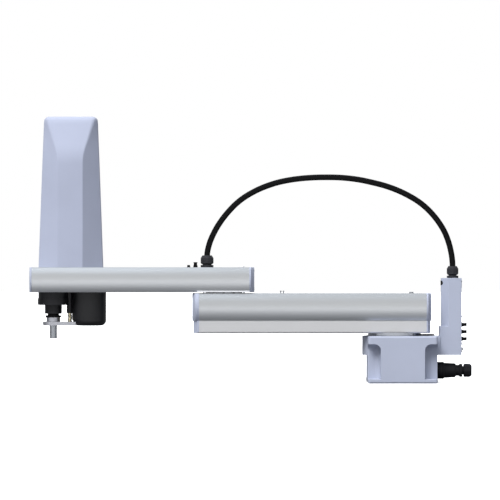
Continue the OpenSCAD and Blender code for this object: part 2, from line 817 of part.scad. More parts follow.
module arm1_front_cap() color([0.70, 0.73, 0.80]) translate([0, 0, ext_z]) difference() {
    end_cap(arm1_x0, j2_x - arm1_nose, arm1_hw, arm1_h, front_cap_t - 6, 26)
        bulged_2d(arm1_hw, arm1_h, arm1_bulge_r);
    cap_holes(j2_x - arm1_nose, -1, arm1_h);
}

module arm1_rear_cap() color([0.70, 0.73, 0.80]) translate([0, 0, ext_z]) difference() {
    end_cap(arm1_x1, arm1_tail, arm1_hw, arm1_h, cap_taper, 26)
        bulged_2d(arm1_hw, arm1_h, arm1_bulge_r);
    cap_holes(arm1_tail, 1, arm1_h);
}

module lower_cap(x_seat, x_end, chamfer_x) {
    in_hw = beam_hw - arm_wall - seat_gap;
    d = sign(x_end - x_seat);
    translate([0, 0, arm1_z]) {
        end_cap(x_seat, x_end, beam_hw, beam_h, chamfer_x, 22) beam_outline_2d();
        // tongue that plugs into the beam
        translate([min(x_seat, x_seat - d * 6), -in_hw, beam_floor + seat_gap])
            cube([6, 2 * in_hw, beam_h - beam_floor - 2 * seat_gap]);
    }
}

module arm1_lower_caps() color([0.66, 0.69, 0.77]) {
    lower_cap(arm1_x0, j2_x - arm1_nose + 4, front_cap_t - 9);
    lower_cap(arm1_x1, arm1_tail - 3, rear_cap_t - 7);
}

module arm1_cap_screws() color([0.25, 0.25, 0.27]) translate([0, 0, ext_z]) {
    cap_screw_set(arm1_tail, 1, arm1_h, rear_cap_t + 10);
    cap_screw_set(j2_x - arm1_nose, -1, arm1_h, front_cap_t + 10);
}

// Plug closing a grease port, standing on z = 0
module grease_plug() {
    cylinder(h = plug_h - 1.5, r = plug_r, $fn = 48);
    translate([0, 0, plug_h - 1.5]) cylinder(h = 1.5, r1 = plug_r, r2 = plug_r - 1.5, $fn = 48);
    translate([0, 0, -arm_wall]) cylinder(h = arm_wall, r = 4.9, $fn = 48);
}

module arm1_top_screws() {
    for (s = [-1, 1]) translate([arm1_screw_x + s * arm1_screw_pitch / 2, -arm1_screw_pitch, 0]) children();
}

module arm1_top_fittings() color([0.6, 0.61, 0.63]) translate([0, 0, arm1_top]) {
    translate([arm1_plug_x, 0, 0]) grease_plug();
    arm1_top_screws() cap_screw(top_screw_r, arm_wall, top_head_r, top_head_h);
}

// Second joint

module j2_motor() color([0.16, 0.16, 0.17])
    translate([j2_x, 0, spline2_z]) 
        servo(motor_w, spline2_z - arm1_z - j2_motor_floor, drive_shaft_r + run_gap);

module j2_bearing_ring() color([0.6, 0.61, 0.63]) difference() {
    union() {
        ring(j2_x, race2_z, race2_h, bearing2_r);
        ring(j2_x, arm1_top - arm_wall - race2_flange_t, race2_flange_t, race2_flange_r);
    }
    ring(j2_x, race2_z - eps, race2_h + 2 * eps, race2_in);
    around(j2_x, ring_screw_pcd_r, ring_screws) translate([0, 0, arm1_top - arm_wall - race2_flange_t - eps])
        cylinder(h = race2_flange_t + 2 * eps, r = 2.2, $fn = 48);
}

module j2_ring_screws() color([0.25, 0.25, 0.27])
    around(j2_x, ring_screw_pcd_r, ring_screws) translate([0, 0, arm1_top]) 
        cap_screw(ring_screw_r, ring_screw_len, ring_head_r, ring_head_h);

module j2_circular_spline() color([0.5, 0.51, 0.53])
    ring(j2_x, spline2_z, spline2_h, spline2_r - 4, wave2_r + 4);

module j2_flexspline() color([0.66, 0.62, 0.5])
    translate([j2_x, 0, 0]) drive_cup(spline2_z + 1, race2_z + 4, wave2_r, spline2_h - 4);

module j2_wave_generator() color([0.72, 0.72, 0.74])
    translate([j2_x, 0, 0]) wave_plug(spline2_z + 2, wave2_r, spline2_h - 8);

module j2_output_hub() color([0.80, 0.81, 0.84]) {
    difference() {
        union() {
            ring(j2_x, arm1_top + ring_run, joint2_gap - ring_run, hub2_r);
            ring(j2_x, race2_z + 4, race2_h - 4 + ring_run, race2_in - run_gap);
        }
        ring(j2_x, race2_z, arm2_z - race2_z + eps, drive_shaft_r + 8);
    }
}

// Second arm

arm2_x0 = spindle_x - arm2_nose + nose_cap_t;
arm2_x1 = j2_x + arm2_tail - rear_cap_t;

module arm2_extrusion() color([0.78, 0.79, 0.80]) {
    top = arm2_top - arm_wall - eps;
    cut = arm_wall + 2 * eps;
    difference() {
        translate([0, 0, arm2_z]) along_x(arm2_x0, arm2_x1) hollow_2d(arm2_hw, arm2_h, arm2_bulge_r);
        // spindle, lift screw and the two motors
        ring(spindle_x, arm2_z - eps, cut, sleeve_r + 5);
        ring(spindle_x, top, cut, upper_race_r);
        ring(screw_x, arm2_z - eps, cut, z_race_r);
        ring(screw_x, top, cut, screw_d / 2 + 2);
        ring(z_motor_x, arm2_z - eps, cut, z_motor_pulley_r + 2);
        ring(r_motor_x, top, cut, r_motor_pulley_r + 2);
        // gland, connector, air and grease ports on the top
        ring(j2_x - arm_gland_x, top, cut, gland_neck_r);
        ring(j2_x + arm2_plug_x, top, cut, 5);
        for (i = [-1 : 1]) translate([j2_x - air_x, i * port_pitch, top]) cylinder(h = cut, r = 5, $fn = 48);
        translate([j2_x - user_x, 0, top]) linear_extrude(cut) round_rect(dsub_w - 2.8, dsub_len - 13.8, 2.6);
        ring(j2_x, arm2_z - eps, cut, drive_shaft_r + 8);
    }
}

module arm2_front_cap() color([0.70, 0.73, 0.80]) translate([0, 0, arm2_z]) difference() {
    end_cap(arm2_x0, spindle_x - arm2_nose, arm2_hw, arm2_h, 4, 8)
        bulged_2d(arm2_hw, arm2_h, arm2_bulge_r);
    cap_holes(spindle_x - arm2_nose, -1, arm2_h);
}

module arm2_rear_cap() color([0.70, 0.73, 0.80]) translate([0, 0, arm2_z]) difference() {
    end_cap(arm2_x1, j2_x + arm2_tail, arm2_hw, arm2_h, cap_taper, 26)
        bulged_2d(arm2_hw, arm2_h, arm2_bulge_r);
    cap_holes(j2_x + arm2_tail, 1, arm2_h);
}

module arm2_cap_screws() color([0.25, 0.25, 0.27]) translate([0, 0, arm2_z]) {
    cap_screw_set(j2_x + arm2_tail, 1, arm2_h, rear_cap_t + 10);
    cap_screw_set(spindle_x - arm2_nose, -1, arm2_h, nose_cap_t + 10);
}

module arm2_grease_plug() color([0.8, 0.8, 0.82]) translate([j2_x + arm2_plug_x, 0, arm2_top]) grease_plug();

module arm_air_ports() color([0.1, 0.1, 0.1])
    for (i = [-1 : 1]) translate([j2_x - air_x, i * port_pitch, arm2_top]) air_port(18);

module arm_user_connector() color([0.12, 0.12, 0.13])
    translate([j2_x - user_x, 0, arm2_top]) user_connector(8);

module arm_gland_body() color([0.13, 0.13, 0.14]) translate([j2_x - arm_gland_x, 0, arm2_top]) gland_body();
module arm_gland_nut() color([0.09, 0.09, 0.1]) translate([j2_x - arm_gland_x, 0, arm2_top]) gland_nut();

// Tall cover: an octagon that leans in, with a bevel on its front and back

module octagon_2d(len, depth, face_hw, chamfer_y) {
    x = len / 2;
    y = depth / 2;
    polygon([
        [-face_hw, -y], [face_hw, -y], [x, chamfer_y - y], [x, y - chamfer_y],
        [face_hw, y], [-face_hw, y], [-x, y - chamfer_y], [-x, chamfer_y - y]
    ]);
}

// Outline grown inwards by inset, so that the same shape makes the shell's inside
module cover_shape(inset) {
    len = cover_len - 2 * inset;
    depth = cover_depth - 2 * inset;
    r = max(cover_edge_r - inset, 1);
    top = cover_h - inset;
    knee = cover_h - cover_bevel_h;
    share = knee / cover_h;
    lean = cover_draft * 0.4;
    hull() {
        linear_extrude(1) offset(r, $fn = 32) offset(-r)
            octagon_2d(len, depth, cover_face_hw, cover_chamfer_y);
        translate([0, 0, knee]) linear_extrude(1) offset(r, $fn = 32) offset(-r)
            octagon_2d(
                len - 2 * cover_draft * share, depth - 2 * lean * share, cover_face_hw, cover_chamfer_y
            );
        translate([0, 0, top - r]) linear_extrude(0.1) offset(r, $fn = 32) offset(-r)
            octagon_2d(len - 2 * cover_draft, depth - 2 * lean - 2 * cover_bevel_in, cover_top_hw, 18);
        translate([0, 0, top - 1]) linear_extrude(1) offset(1, $fn = 32) offset(-r)
            octagon_2d(len - 2 * cover_draft, depth - 2 * lean - 2 * cover_bevel_in - 4, cover_top_hw, 18);
    }
}

module spindle_cover() color([0.70, 0.73, 0.80]) translate([cover_cx, 0, arm2_top]) difference() {
    cover_shape(0);
    translate([0, 0, -eps]) cover_shape(cover_wall);
}

module lift_motor_cover() color([0.09, 0.09, 0.1]) translate([z_motor_x, 0, arm2_z - motor_cover_h]) {
    r = motor_cover_r;
    round = 18;
    t = cover_wall;
    h = motor_cover_h;
    rotate_extrude() difference() {
        union() {
            square([r - round, h]);
            translate([0, round]) square([r, h - round]);
            translate([r - round, round]) circle(round);
        }
        translate([0, t]) square([r - round, h]);
        translate([0, round]) square([r - t, h]);
        intersection() {
            translate([r - round, round]) circle(round - t);
            translate([0, t]) square([r, h]);
        }
        translate([-round, -eps]) square([round, h + 2 * eps]);
    }
}

// Motors, belts and pulleys

module lift_motor() color([0.16, 0.16, 0.17])
    translate([z_motor_x, 0, arm2_z]) servo(small_motor_w, lift_motor_len, motor_shaft_r + run_gap);

module turn_motor() color([0.16, 0.16, 0.17])
    translate([r_motor_x, 0, arm2_top]) mirror([0, 0, 1])
        servo(small_motor_w, turn_motor_len, motor_shaft_r + run_gap);

// Outline of a belt at radius r1 round the first pulley and r2 round the second
module belt_2d(r1, r2, d) {
    a = acos((r1 - r2) / d);
    n = 24;
    polygon(concat(
        [for (i = [0 : n]) let (t = a + i * (360 - 2 * a) / n) [r1 * cos(t), r1 * sin(t)]],
        [for (i = [0 : n]) let (t = (2 * i / n - 1) * a) [d + r2 * cos(t), r2 * sin(t)]]
    ));
}

module belt(x, z, r1, r2, d) {
    translate([x, 0, z]) linear_extrude(belt_h) difference() {
        belt_2d(r1 + seat_gap + belt_t, r2 + seat_gap + belt_t, d);
        belt_2d(r1 + seat_gap, r2 + seat_gap, d);
    }
}

module turn_belt() color([0.1, 0.1, 0.1])
    belt(spindle_x, r_belt_z + 1.5, r_pulley_r, r_motor_pulley_r, r_belt_centres);
module lift_belt() color([0.1, 0.1, 0.1])
    belt(screw_x, z_belt_z + 1.5, z_pulley_r, z_motor_pulley_r, z_belt_centres);

// Spindle

module spindle_housing() color([0.1, 0.1, 0.11]) {
    z1 = arm2_z;
    z_flange = z1 - housing_h;
    z_nose = z_flange - nose_h;
    difference() {
        union() {
            // stepped flange: a narrower neck above the wide rim
            ring(spindle_x, z_flange, housing_h, housing_r - 2);
            ring(spindle_x, z_flange, housing_h * 0.5, housing_r);
            ring(spindle_x, z_nose, nose_h + eps, nose_r);
            ring(screw_x, screw_tube_z, z1 - screw_tube_z, screw_tube_r);
            translate([spindle_x, -screw_tube_r, z_flange]) cube([screw_offset, 2 * screw_tube_r, housing_h]);
        }
        ring(spindle_x, z_nose - eps, z1 - z_nose + 2 * eps, sleeve_r + 1);
        ring(spindle_x, z1 - lower_race_h, lower_race_h + eps, lower_race_r);
        ring(screw_x, screw_tube_z - eps, z1 - screw_tube_z + 2 * eps, screw_tube_r - tube_wall);
        around(spindle_x, housing_pcd_r, 6, 30) translate([0, 0, z_flange - eps])
            cylinder(h = housing_screw_sink + eps, r = housing_screw_r, $fn = 48);
    }
}

module spindle_bearings() color([0.6, 0.61, 0.63]) {
    ring(spindle_x, arm2_z - lower_race_h, lower_race_h, lower_race_r, sleeve_r + run_gap);
    ring(spindle_x, arm2_top - upper_race_h, upper_race_h, upper_race_r, sleeve_r + run_gap);
    ring(screw_x, arm2_z, z_race_h, z_race_r, z_nut_r + run_gap);
}

module toothed_pulley(x, z, h, r, teeth) {
    difference() {
        ring(x, z, h, r);
        around(x, r, teeth) translate([0, 0, z + 1.5]) cylinder(h = h - 3, r = 0.9, $fn = 16);
    }
    // side flanges stand clear of the belt
    ring(x, z, 1.2, r + 1.5);
}

module spline_nut() color([0.62, 0.63, 0.66]) {
    z0 = housing_z + 2;
    difference() {
        union() {
            ring(spindle_x, z0, arm2_top - 2 - z0, sleeve_r);
            ring(spindle_x, arm2_z + seat_gap, 6, sleeve_r + 4);
            toothed_pulley(spindle_x, r_belt_z, r_pulley_h, r_pulley_r, 40);
        }
        ring(spindle_x, z0 - eps, arm2_top - z0 + 2 * eps, shaft_d / 2 + run_gap);
    }
}

module turn_motor_pulley() color([0.62, 0.63, 0.66]) {
    toothed_pulley(r_motor_x, r_belt_z, r_pulley_h, r_motor_pulley_r, 20);
    ring(r_motor_x, r_belt_z, arm2_top + 26 - r_belt_z, motor_shaft_r);
}

module ball_nut() color([0.62, 0.63, 0.66]) {
    difference() {
        union() {
            ring(screw_x, arm2_z + 1, z_belt_z + 26 - arm2_z, z_nut_r);
            toothed_pulley(screw_x, z_belt_z, z_pulley_h, z_pulley_r, 22);
        }
        ring(screw_x, arm2_z, z_belt_z + 40 - arm2_z, screw_d / 2 + 2 * run_gap);
    }
}

module lift_motor_pulley() color([0.62, 0.63, 0.66]) {
    toothed_pulley(z_motor_x, z_belt_z, z_pulley_h, z_motor_pulley_r, 15);
    ring(z_motor_x, arm2_z - 26, z_belt_z - arm2_z + 27, motor_shaft_r);
}

// Lift plate with the silver collar that holds the shaft's bearing

module lift_plate() color([0.82, 0.82, 0.84]) {
    difference() {
        union() {
            translate([spindle_x, 0, plate_z]) linear_extrude(plate_t) {
                circle(plate_r);
                translate([plate_len / 2, 0]) round_rect(plate_len, 2 * plate_r, plate_corner_r);
            }
            ring(spindle_x, plate_top, collar_h, collar_r);
        }
        ring(spindle_x, plate_z - eps, plate_t + collar_h + 2 * eps, shaft_d / 2 + run_gap);
        ring(screw_x, plate_z - eps, plate_t + 2 * eps, screw_end_r);
        // hollowed end that keeps clear of the lift motor's cover
        ring(z_motor_x, plate_z - eps, plate_t + 2 * eps, motor_cover_r + plate_gap);
        around(spindle_x, collar_r + 6, 4, 45) translate([0, 0, plate_top - 5])
            cylinder(h = 6, r = 3.2, $fn = 48);
    }
}

module lift_bumper() color([0.08, 0.08, 0.08]) {
    difference() {
        union() {
            ring(spindle_x, collar_top, bumper_h, bumper_r);
            ring(spindle_x, collar_top + bumper_h, stop_neck_h, bumper_neck_r);
        }
        ring(spindle_x, collar_top - eps, bumper_h + stop_neck_h + 2 * eps, stop_ring_r + 0.8);
    }
}

module lift_screw() color([0.74, 0.73, 0.68]) {
    ring(screw_x, plate_top, screw_top - plate_top, screw_d / 2);
    ring(screw_x, plate_z, plate_t, screw_end_r);
}

module spline_shaft() color([0.72, 0.72, 0.75]) {
    z0 = plate_z - shaft_drop;
    difference() {
        union() {
            ring(spindle_x, z0 + 1, shaft_top - z0 - 1, shaft_d / 2);
            translate([spindle_x, 0, z0]) cylinder(h = 1, r1 = shaft_d / 2 - 1, r2 = shaft_d / 2);
            ring(spindle_x, plate_z - seat_gap - snap_h, snap_h, shaft_d / 2 + 2);
            ring(spindle_x, collar_top + seat_gap, stop_ring_h, stop_ring_r);
        }
        ring(spindle_x, z0 - eps, shaft_top - z0 + 2 * eps, shaft_bore_d / 2);
        // ball grooves of the spline
        around(spindle_x, shaft_d / 2 + 0.8, 4, 45) translate([0, 0, collar_top + stop_ring_h + 2])
            cylinder(h = shaft_top, r = 2, $fn = 32);
    }
}

// Conduit swept along its route

function unit(v) = v / norm(v);
function heading(i) = unit(route[min(i + 1, len(route) - 1)] - route[max(i - 1, 0)]);
function ring_point(i, j, shift) =
    let (a = j * 360 / conduit_sides, t = heading(i), r = conduit_d / 2, p = route[i] + shift * t)
    [p[0] - t[1] * r * cos(a), r * sin(a), p[1] + t[0] * r * cos(a)];

module span(i0, i1, joint_gap) {
    n = i1 - i0 + 1;
    m = conduit_sides;
    points = [for (i = [i0 : i1], j = [0 : m - 1]) ring_point(i, j, i == i0 ? joint_gap : 0)];
    walls = [
        for (i = [0 : n - 2], j = [0 : m - 1])
            let (a = i * m + j, b = i * m + (j + 1) % m)
            each [[a, b, b + m], [a, b + m, a + m]]
    ];
    ends = [[for (j = [m - 1 : -1 : 0]) j], [for (j = [0 : m - 1]) (n - 1) * m + j]];
    polyhedron(points = points, faces = concat(walls, ends));
}

// Span from the second arm's gland to the top of the arch, and from there to the post's gland
module conduit_arm_span() color([0.07, 0.07, 0.07]) span(0, arch_top + 1, 0);
module conduit_base_span() color([0.07, 0.07, 0.07]) 
    span(arch_top + 1, len(route) - 1, seat_gap);

base_casting();
base_bottom_cover();
j1_motor();
j1_bearing_ring();
j1_circular_spline();
j1_flexspline();
j1_wave_generator();
j1_output_hub();
cable_post();
post_rear_panel();
post_screws();
base_air_ports();
base_user_connector();
base_gland_body();
base_gland_nut();
robot_connector_socket();
robot_connector_shell();
robot_connector_nut();
arm1_lower_beam();
arm1_extrusion();
arm1_front_cap();
arm1_rear_cap();
arm1_lower_caps();
arm1_cap_screws();
arm1_hub_screws();
arm1_top_fittings();
j2_motor();
j2_bearing_ring();
j2_ring_screws();
j2_circular_spline();
j2_flexspline();
j2_wave_generator();
j2_output_hub();
arm2_extrusion();
arm2_front_cap();
arm2_rear_cap();
arm2_cap_screws();
arm2_grease_plug();
arm_air_ports();
arm_user_connector();
arm_gland_body();
arm_gland_nut();
spindle_cover();
lift_motor_cover();
lift_motor();
turn_motor();
turn_belt();
lift_belt();
spindle_housing();
spindle_bearings();
spline_nut();
turn_motor_pulley();
ball_nut();
lift_motor_pulley();
lift_plate();
lift_bumper();
lift_screw();
spline_shaft();
conduit_arm_span();
conduit_base_span();
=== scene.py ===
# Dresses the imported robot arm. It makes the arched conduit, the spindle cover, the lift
# motor's cover, a dark sheet of painted shade on the casting, the end caps, the post's gland
# and plug, the milled lands, the lift screw, grips and screw heads, gives every piece its
# finish, and adds a pale floor, soft light and the photograph's level side view.
# Lengths are in mm where no unit is given, and MM turns them into Blender's metres.
import math

import bmesh
import bpy
from mathutils import Matrix, Vector


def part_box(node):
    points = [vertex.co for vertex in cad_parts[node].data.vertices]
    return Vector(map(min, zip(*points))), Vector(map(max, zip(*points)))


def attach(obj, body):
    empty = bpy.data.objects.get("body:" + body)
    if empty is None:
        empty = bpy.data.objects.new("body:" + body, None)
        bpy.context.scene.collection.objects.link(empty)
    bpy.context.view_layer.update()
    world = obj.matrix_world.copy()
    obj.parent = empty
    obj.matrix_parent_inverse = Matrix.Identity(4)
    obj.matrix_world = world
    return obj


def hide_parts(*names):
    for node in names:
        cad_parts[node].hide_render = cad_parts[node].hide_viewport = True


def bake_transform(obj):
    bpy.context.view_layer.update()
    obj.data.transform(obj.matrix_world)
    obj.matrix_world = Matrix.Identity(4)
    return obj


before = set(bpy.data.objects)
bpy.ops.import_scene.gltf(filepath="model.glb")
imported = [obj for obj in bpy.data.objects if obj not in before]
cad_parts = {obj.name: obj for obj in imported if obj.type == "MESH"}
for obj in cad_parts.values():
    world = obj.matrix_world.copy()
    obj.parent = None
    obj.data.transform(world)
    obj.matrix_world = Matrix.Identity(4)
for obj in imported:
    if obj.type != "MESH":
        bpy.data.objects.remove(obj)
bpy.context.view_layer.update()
MM = 0.001


def ends(node):
    """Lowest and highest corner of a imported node, in mm."""
    low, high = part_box(node)
    return Vector(low) / MM, Vector(high) / MM


def middle(node):
    low, high = ends(node)
    return (low + high) / 2


ARM_FOOT = ends("arm2_extrusion")[0].z
ARM_TOP = ends("arm2_extrusion")[1].z
POST_FRONT = ends("cable_post")[0].x
POST_TOP = ends("cable_post")[1].z
SPINDLE_X = middle("spline_shaft").x
SCREW_X = middle("lift_screw").x
SECOND_AXIS_X = middle("j2_output_hub").x
COLLAR_H = 15.5
PLATE_TOP = ends("lift_plate")[1].z - COLLAR_H


# Small helpers


def add(tree, kind, inputs=None, **settings):
    """Adds one node, with its settings, its values and the links into it."""
    made = tree.nodes.new(kind)
    for name, value in settings.items():
        setattr(made, name, value)
    for name, value in (inputs or {}).items():
        if isinstance(value, bpy.types.NodeSocket):
            tree.links.new(value, made.inputs[name])
        else:
            made.inputs[name].default_value = value
    return made


def linear(code):
    """Turns an sRGB hex colour into the linear one that the nodes take."""
    parts = [int(code[i : i + 2], 16) / 255 for i in (1, 3, 5)]
    return (*[c / 12.92 if c <= 0.04045 else ((c + 0.055) / 1.055) ** 2.4 for c in parts], 1.0)


def plain_object(name, mesh):
    made = bpy.data.objects.new(name, mesh)
    bpy.context.scene.collection.objects.link(made)
    return made


def sharpen(mesh, degrees):
    """Shades the faces smoothly, apart from edges that turn by more than these degrees."""
    work = bmesh.new()
    work.from_mesh(mesh)
    for face in work.faces:
        face.smooth = True
    for edge in work.edges:
        flat = len(edge.link_faces) != 2 or edge.calc_face_angle(0) <= math.radians(degrees)
        edge.smooth = flat
    work.to_mesh(mesh)
    work.free()


def mesh_object(name, points, faces, smooth_over):
    """Makes an object from points in metres; edges sharper than smooth_over degrees stay hard."""
    mesh = bpy.data.meshes.new(name)
    mesh.from_pydata([tuple(p) for p in points], [], faces)
    mesh.validate()
    work = bmesh.new()
    work.from_mesh(mesh)
    bmesh.ops.remove_doubles(work, verts=work.verts, dist=1e-6)
    bmesh.ops.recalc_face_normals(work, faces=work.faces)
    work.to_mesh(mesh)
    work.free()
    sharpen(mesh, smooth_over)
    return plain_object(name, mesh)


def row_faces(rows, size, start=0, close_first=True):
    """Joins rows of points that each go once round, and closes the last row and the first."""
    faces = []
    for i in range(rows - 1):
        for j in range(size):
            a, b = start + i * size + j, start + i * size + (j + 1) % size
            faces.append((a, b, b + size, a + size))
    if close_first:
        faces.append(tuple(reversed(range(start, start + size))))
    faces.append(tuple(range(start + (rows - 1) * size, start + rows * size)))
    return faces


def apply_modifiers(piece, smooth_over=None):
    """Keeps what the modifiers make as the piece's own mesh."""
    bpy.context.view_layer.update()
    ready = piece.evaluated_get(bpy.context.evaluated_depsgraph_get())
    mesh = bpy.data.meshes.new_from_object(ready)
    piece.modifiers.clear()
    piece.data = mesh
    if smooth_over is not None:
        sharpen(mesh, smooth_over)
    return piece


def soften(piece, width):
    """Rounds all the edges of a piece by a small width."""
    bevel = piece.modifiers.new("soften", "BEVEL")
    bevel.width = width * MM
    bevel.segments = 2
    return apply_modifiers(piece)


def hollow(piece, wall, smooth_over):
    """Gives an open shell its wall, inwards, with a crisp rim."""
    solid = piece.modifiers.new("wall", "SOLIDIFY")
    solid.thickness = wall * MM
    solid.offset = -1
    return apply_modifiers(piece, smooth_over)


def wear(piece, finish):
    piece.data.materials.clear()
    piece.data.materials.append(finish)
    return piece


# Camera


def side_camera():
    """A long lens, level with the middle of the arm, as in the photograph. Lengths here are in
    metres; the view is 500 pixels of 3.52 mm wide at the plane of the arms."""
    width, distance, sensor = 1.760, 14.0, 36
    middle_x, middle_z = -0.508, 0.4664
    lens = bpy.data.cameras.new("side_camera")
    lens.sensor_width = sensor
    lens.lens = sensor * distance / width
    lens.clip_end = 60
    made = plain_object("side_camera", lens)
    made.location = (middle_x, -distance, middle_z)
    made.rotation_euler = (math.radians(90), 0, 0)
    bpy.context.scene.camera = made


side_camera()


# Conduit

# The same route as in the part's source: share of the way from the arm's gland to the
# post's, and height above the line between the tops of the glands
ARCH = [
    (0.0035, 22), (0.0145, 54), (0.038, 97), (0.071, 140), (0.111, 180), (0.150, 209),
    (0.196, 234), (0.242, 253), (0.294, 269), (0.354, 281), (0.419, 289), (0.484, 293),
    (0.550, 294), (0.615, 290), (0.672, 282), (0.730, 271), (0.788, 254), (0.841, 232),
    (0.8813, 209), (0.9163, 181), (0.9455, 150), (0.9685, 117), (0.9847, 81), (0.9944, 47),
    (0.9986, 22),
]
MEET_AT = 11  # the point of the arch where the two spans meet
LINE_STEPS = 4  # parts that each stretch between two points is drawn in
GLAND_SEAT, GLAND_H = 14, 42  # where the conduit starts in its gland, and the gland's height
GLAND_A = (middle("arm_gland_nut").x, ARM_TOP)
GLAND_B = (middle("base_gland_nut").x, POST_TOP)
CONDUIT_D = 20.5 * MM


def conduit_route():
    (ax, az), (bx, bz) = GLAND_A, GLAND_B
    route = [(ax, az + GLAND_SEAT), (ax, az + GLAND_H)]
    route += [(ax + u * (bx - ax), az + u * (bz - az) + GLAND_H + h) for u, h in ARCH]
    route += [(bx, bz + GLAND_H), (bx, bz + GLAND_SEAT)]
    return [Vector((x * MM, 0, z * MM)) for x, z in route]


def smooth_line(points, steps):
    """Rounds a line of points without leaving them (Catmull-Rom)."""
    line = []
    for i in range(len(points) - 1):
        p0, p1 = points[max(i - 1, 0)], points[i]
        p2, p3 = points[i + 1], points[min(i + 2, len(points) - 1)]
        for k in range(steps):
            t = k / steps
            line.append(
                0.5 * (2 * p1 + (p2 - p0) * t + (2 * p0 - 5 * p1 + 4 * p2 - p3) * t * t
                       + (3 * p1 - p0 - 3 * p2 + p3) * t ** 3)
            )
    return line + [points[-1].copy()]


def tube(name, line, radius, sides=28):
    """A closed tube along a line that stays in the plane of the arms."""
    points = []
    for i, p in enumerate(line):
        along = (line[min(i + 1, len(line) - 1)] - line[max(i - 1, 0)]).normalized()
        out = Vector((-along.z, 0, along.x))
        for j in range(sides):
            a = 2 * math.pi * j / sides
            points.append(p + radius * (math.cos(a) * out + math.sin(a) * Vector((0, 1, 0))))
    return mesh_object(name, points, row_faces(len(line), sides), smooth_over=40)


whole = smooth_line(conduit_route(), LINE_STEPS)
meet = (MEET_AT + 2) * LINE_STEPS  # two points in the gland come before the arch
arm_line, base_line = whole[: meet + 1], list(reversed(whole[meet:]))
arm_span = tube("conduit_arm_tube", arm_line, CONDUIT_D / 2)
base_span = tube("conduit_base_tube", base_line, CONDUIT_D / 2)
for piece, node, body, line, gland in (
    (arm_span, "conduit_arm_span", "second_arm", arm_line, GLAND_A),
    (base_span, "conduit_base_span", "base", base_line, GLAND_B),
):
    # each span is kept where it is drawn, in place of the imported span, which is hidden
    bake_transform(piece)
    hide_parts(node)


# Finishes


def new_finish(name):
    material = bpy.data.materials.new(name)
    material.use_nodes = True
    material.node_tree.nodes.clear()
    return material, material.node_tree


def surface(tree, code, shades, gloss, relief, edge, more):
    """Ends a finish. The gloss and each shade are a pattern, where it starts and stops, and
    what it gives there. The shades multiply the colour one after another. The relief is a
    height, a strength and a depth, on top of the softened edges."""
    rough, *tones = (
        add(
            tree, "ShaderNodeMapRange",
            {
                "Value": pattern, "From Min": start, "From Max": stop, "To Min": low,
                "To Max": high,
            },
        ).outputs["Result"]
        for pattern, start, stop, low, high in (gloss, *shades)
    )
    tint = linear(code)[:3]
    for tone in tones:
        tint = add(
            tree, "ShaderNodeVectorMath", {0: tint, "Scale": tone}, operation="SCALE"
        ).outputs["Vector"]
    height, strength, depth = relief
    bump = add(
        tree, "ShaderNodeBump",
        {
            "Height": height, "Strength": strength, "Distance": depth * MM,
            "Normal": edge.outputs["Normal"],
        },
    )
    shader = add(
        tree, "ShaderNodeBsdfPrincipled",
        {"Base Color": tint, "Roughness": rough, "Normal": bump.outputs["Normal"], **more},
    )
    add(tree, "ShaderNodeOutputMaterial", {"Surface": shader.outputs["BSDF"]})


def powder_coat(name, code):
    """Polyester powder coat on cast aluminium: even and satin, with a faint orange peel and
    slow cloudy drift in its depth. A painted highlight makes a paler line along each edge."""
    material, tree = new_finish(name)
    where = add(tree, "ShaderNodeTexCoord").outputs["Object"]
    # orange peel waves are 1 to 2 mm apart; drawn at 2.5 mm so that they show
    peel = add(tree, "ShaderNodeTexNoise", {"Vector": where, "Scale": 400.0, "Detail": 2.0})
    cloud = add(tree, "ShaderNodeTexNoise", {"Vector": where, "Scale": 9.0, "Detail": 3.0})
    edge = add(tree, "ShaderNodeBevel", {"Radius": 2.4 * MM}, samples=6)
    flat = add(tree, "ShaderNodeNewGeometry")
    turn = add(
        tree, "ShaderNodeVectorMath",
        {0: edge.outputs["Normal"], 1: flat.outputs["Normal"]}, operation="DOT_PRODUCT",
    )
    drift = (cloud.outputs["Fac"], 0.3, 0.7, 0.97, 1.02)
    # painted highlight: up to 1.22 times paler where the softened edge's normal leaves the face's
    painted_edge_highlight = (turn.outputs["Value"], 0.99, 0.80, 1.0, 1.22)
    gloss = (cloud.outputs["Fac"], 0.0, 1.0, 0.42, 0.54)
    relief = (peel.outputs["Fac"], 0.18, 0.25)
    surface(tree, code, (drift, painted_edge_highlight), gloss, relief, edge, {"IOR": 1.5})
    return material


def die_drawn(name, code, metallic, roughness):
    """Clear anodised extruded aluminium: a soft metal sheen that runs from light to dark over
    the bulged side, with faint die lines along the arm."""
    material, tree = new_finish(name)
    where = add(tree, "ShaderNodeTexCoord").outputs["Object"]
    # die lines are 0.3 to 1 mm apart; drawn 1.2 mm apart and about 400 mm long so that they show
    stretched = add(
        tree, "ShaderNodeMapping", {"Vector": where, "Scale": (2.5, 800.0, 800.0)}
    )
    lines = add(
        tree, "ShaderNodeTexNoise",
        {"Vector": stretched.outputs["Vector"], "Scale": 1.0, "Detail": 3.0},
    ).outputs["Fac"]
    edge = add(tree, "ShaderNodeBevel", {"Radius": 0.8 * MM}, samples=4)
    drift = (lines, 0.3, 0.7, 0.975, 1.02)
    gloss = (lines, 0.0, 1.0, roughness - 0.04, roughness + 0.06)
    surface(tree, code, (drift,), gloss, (lines, 0.10, 0.1), edge, {"Metallic": metallic})
    return material


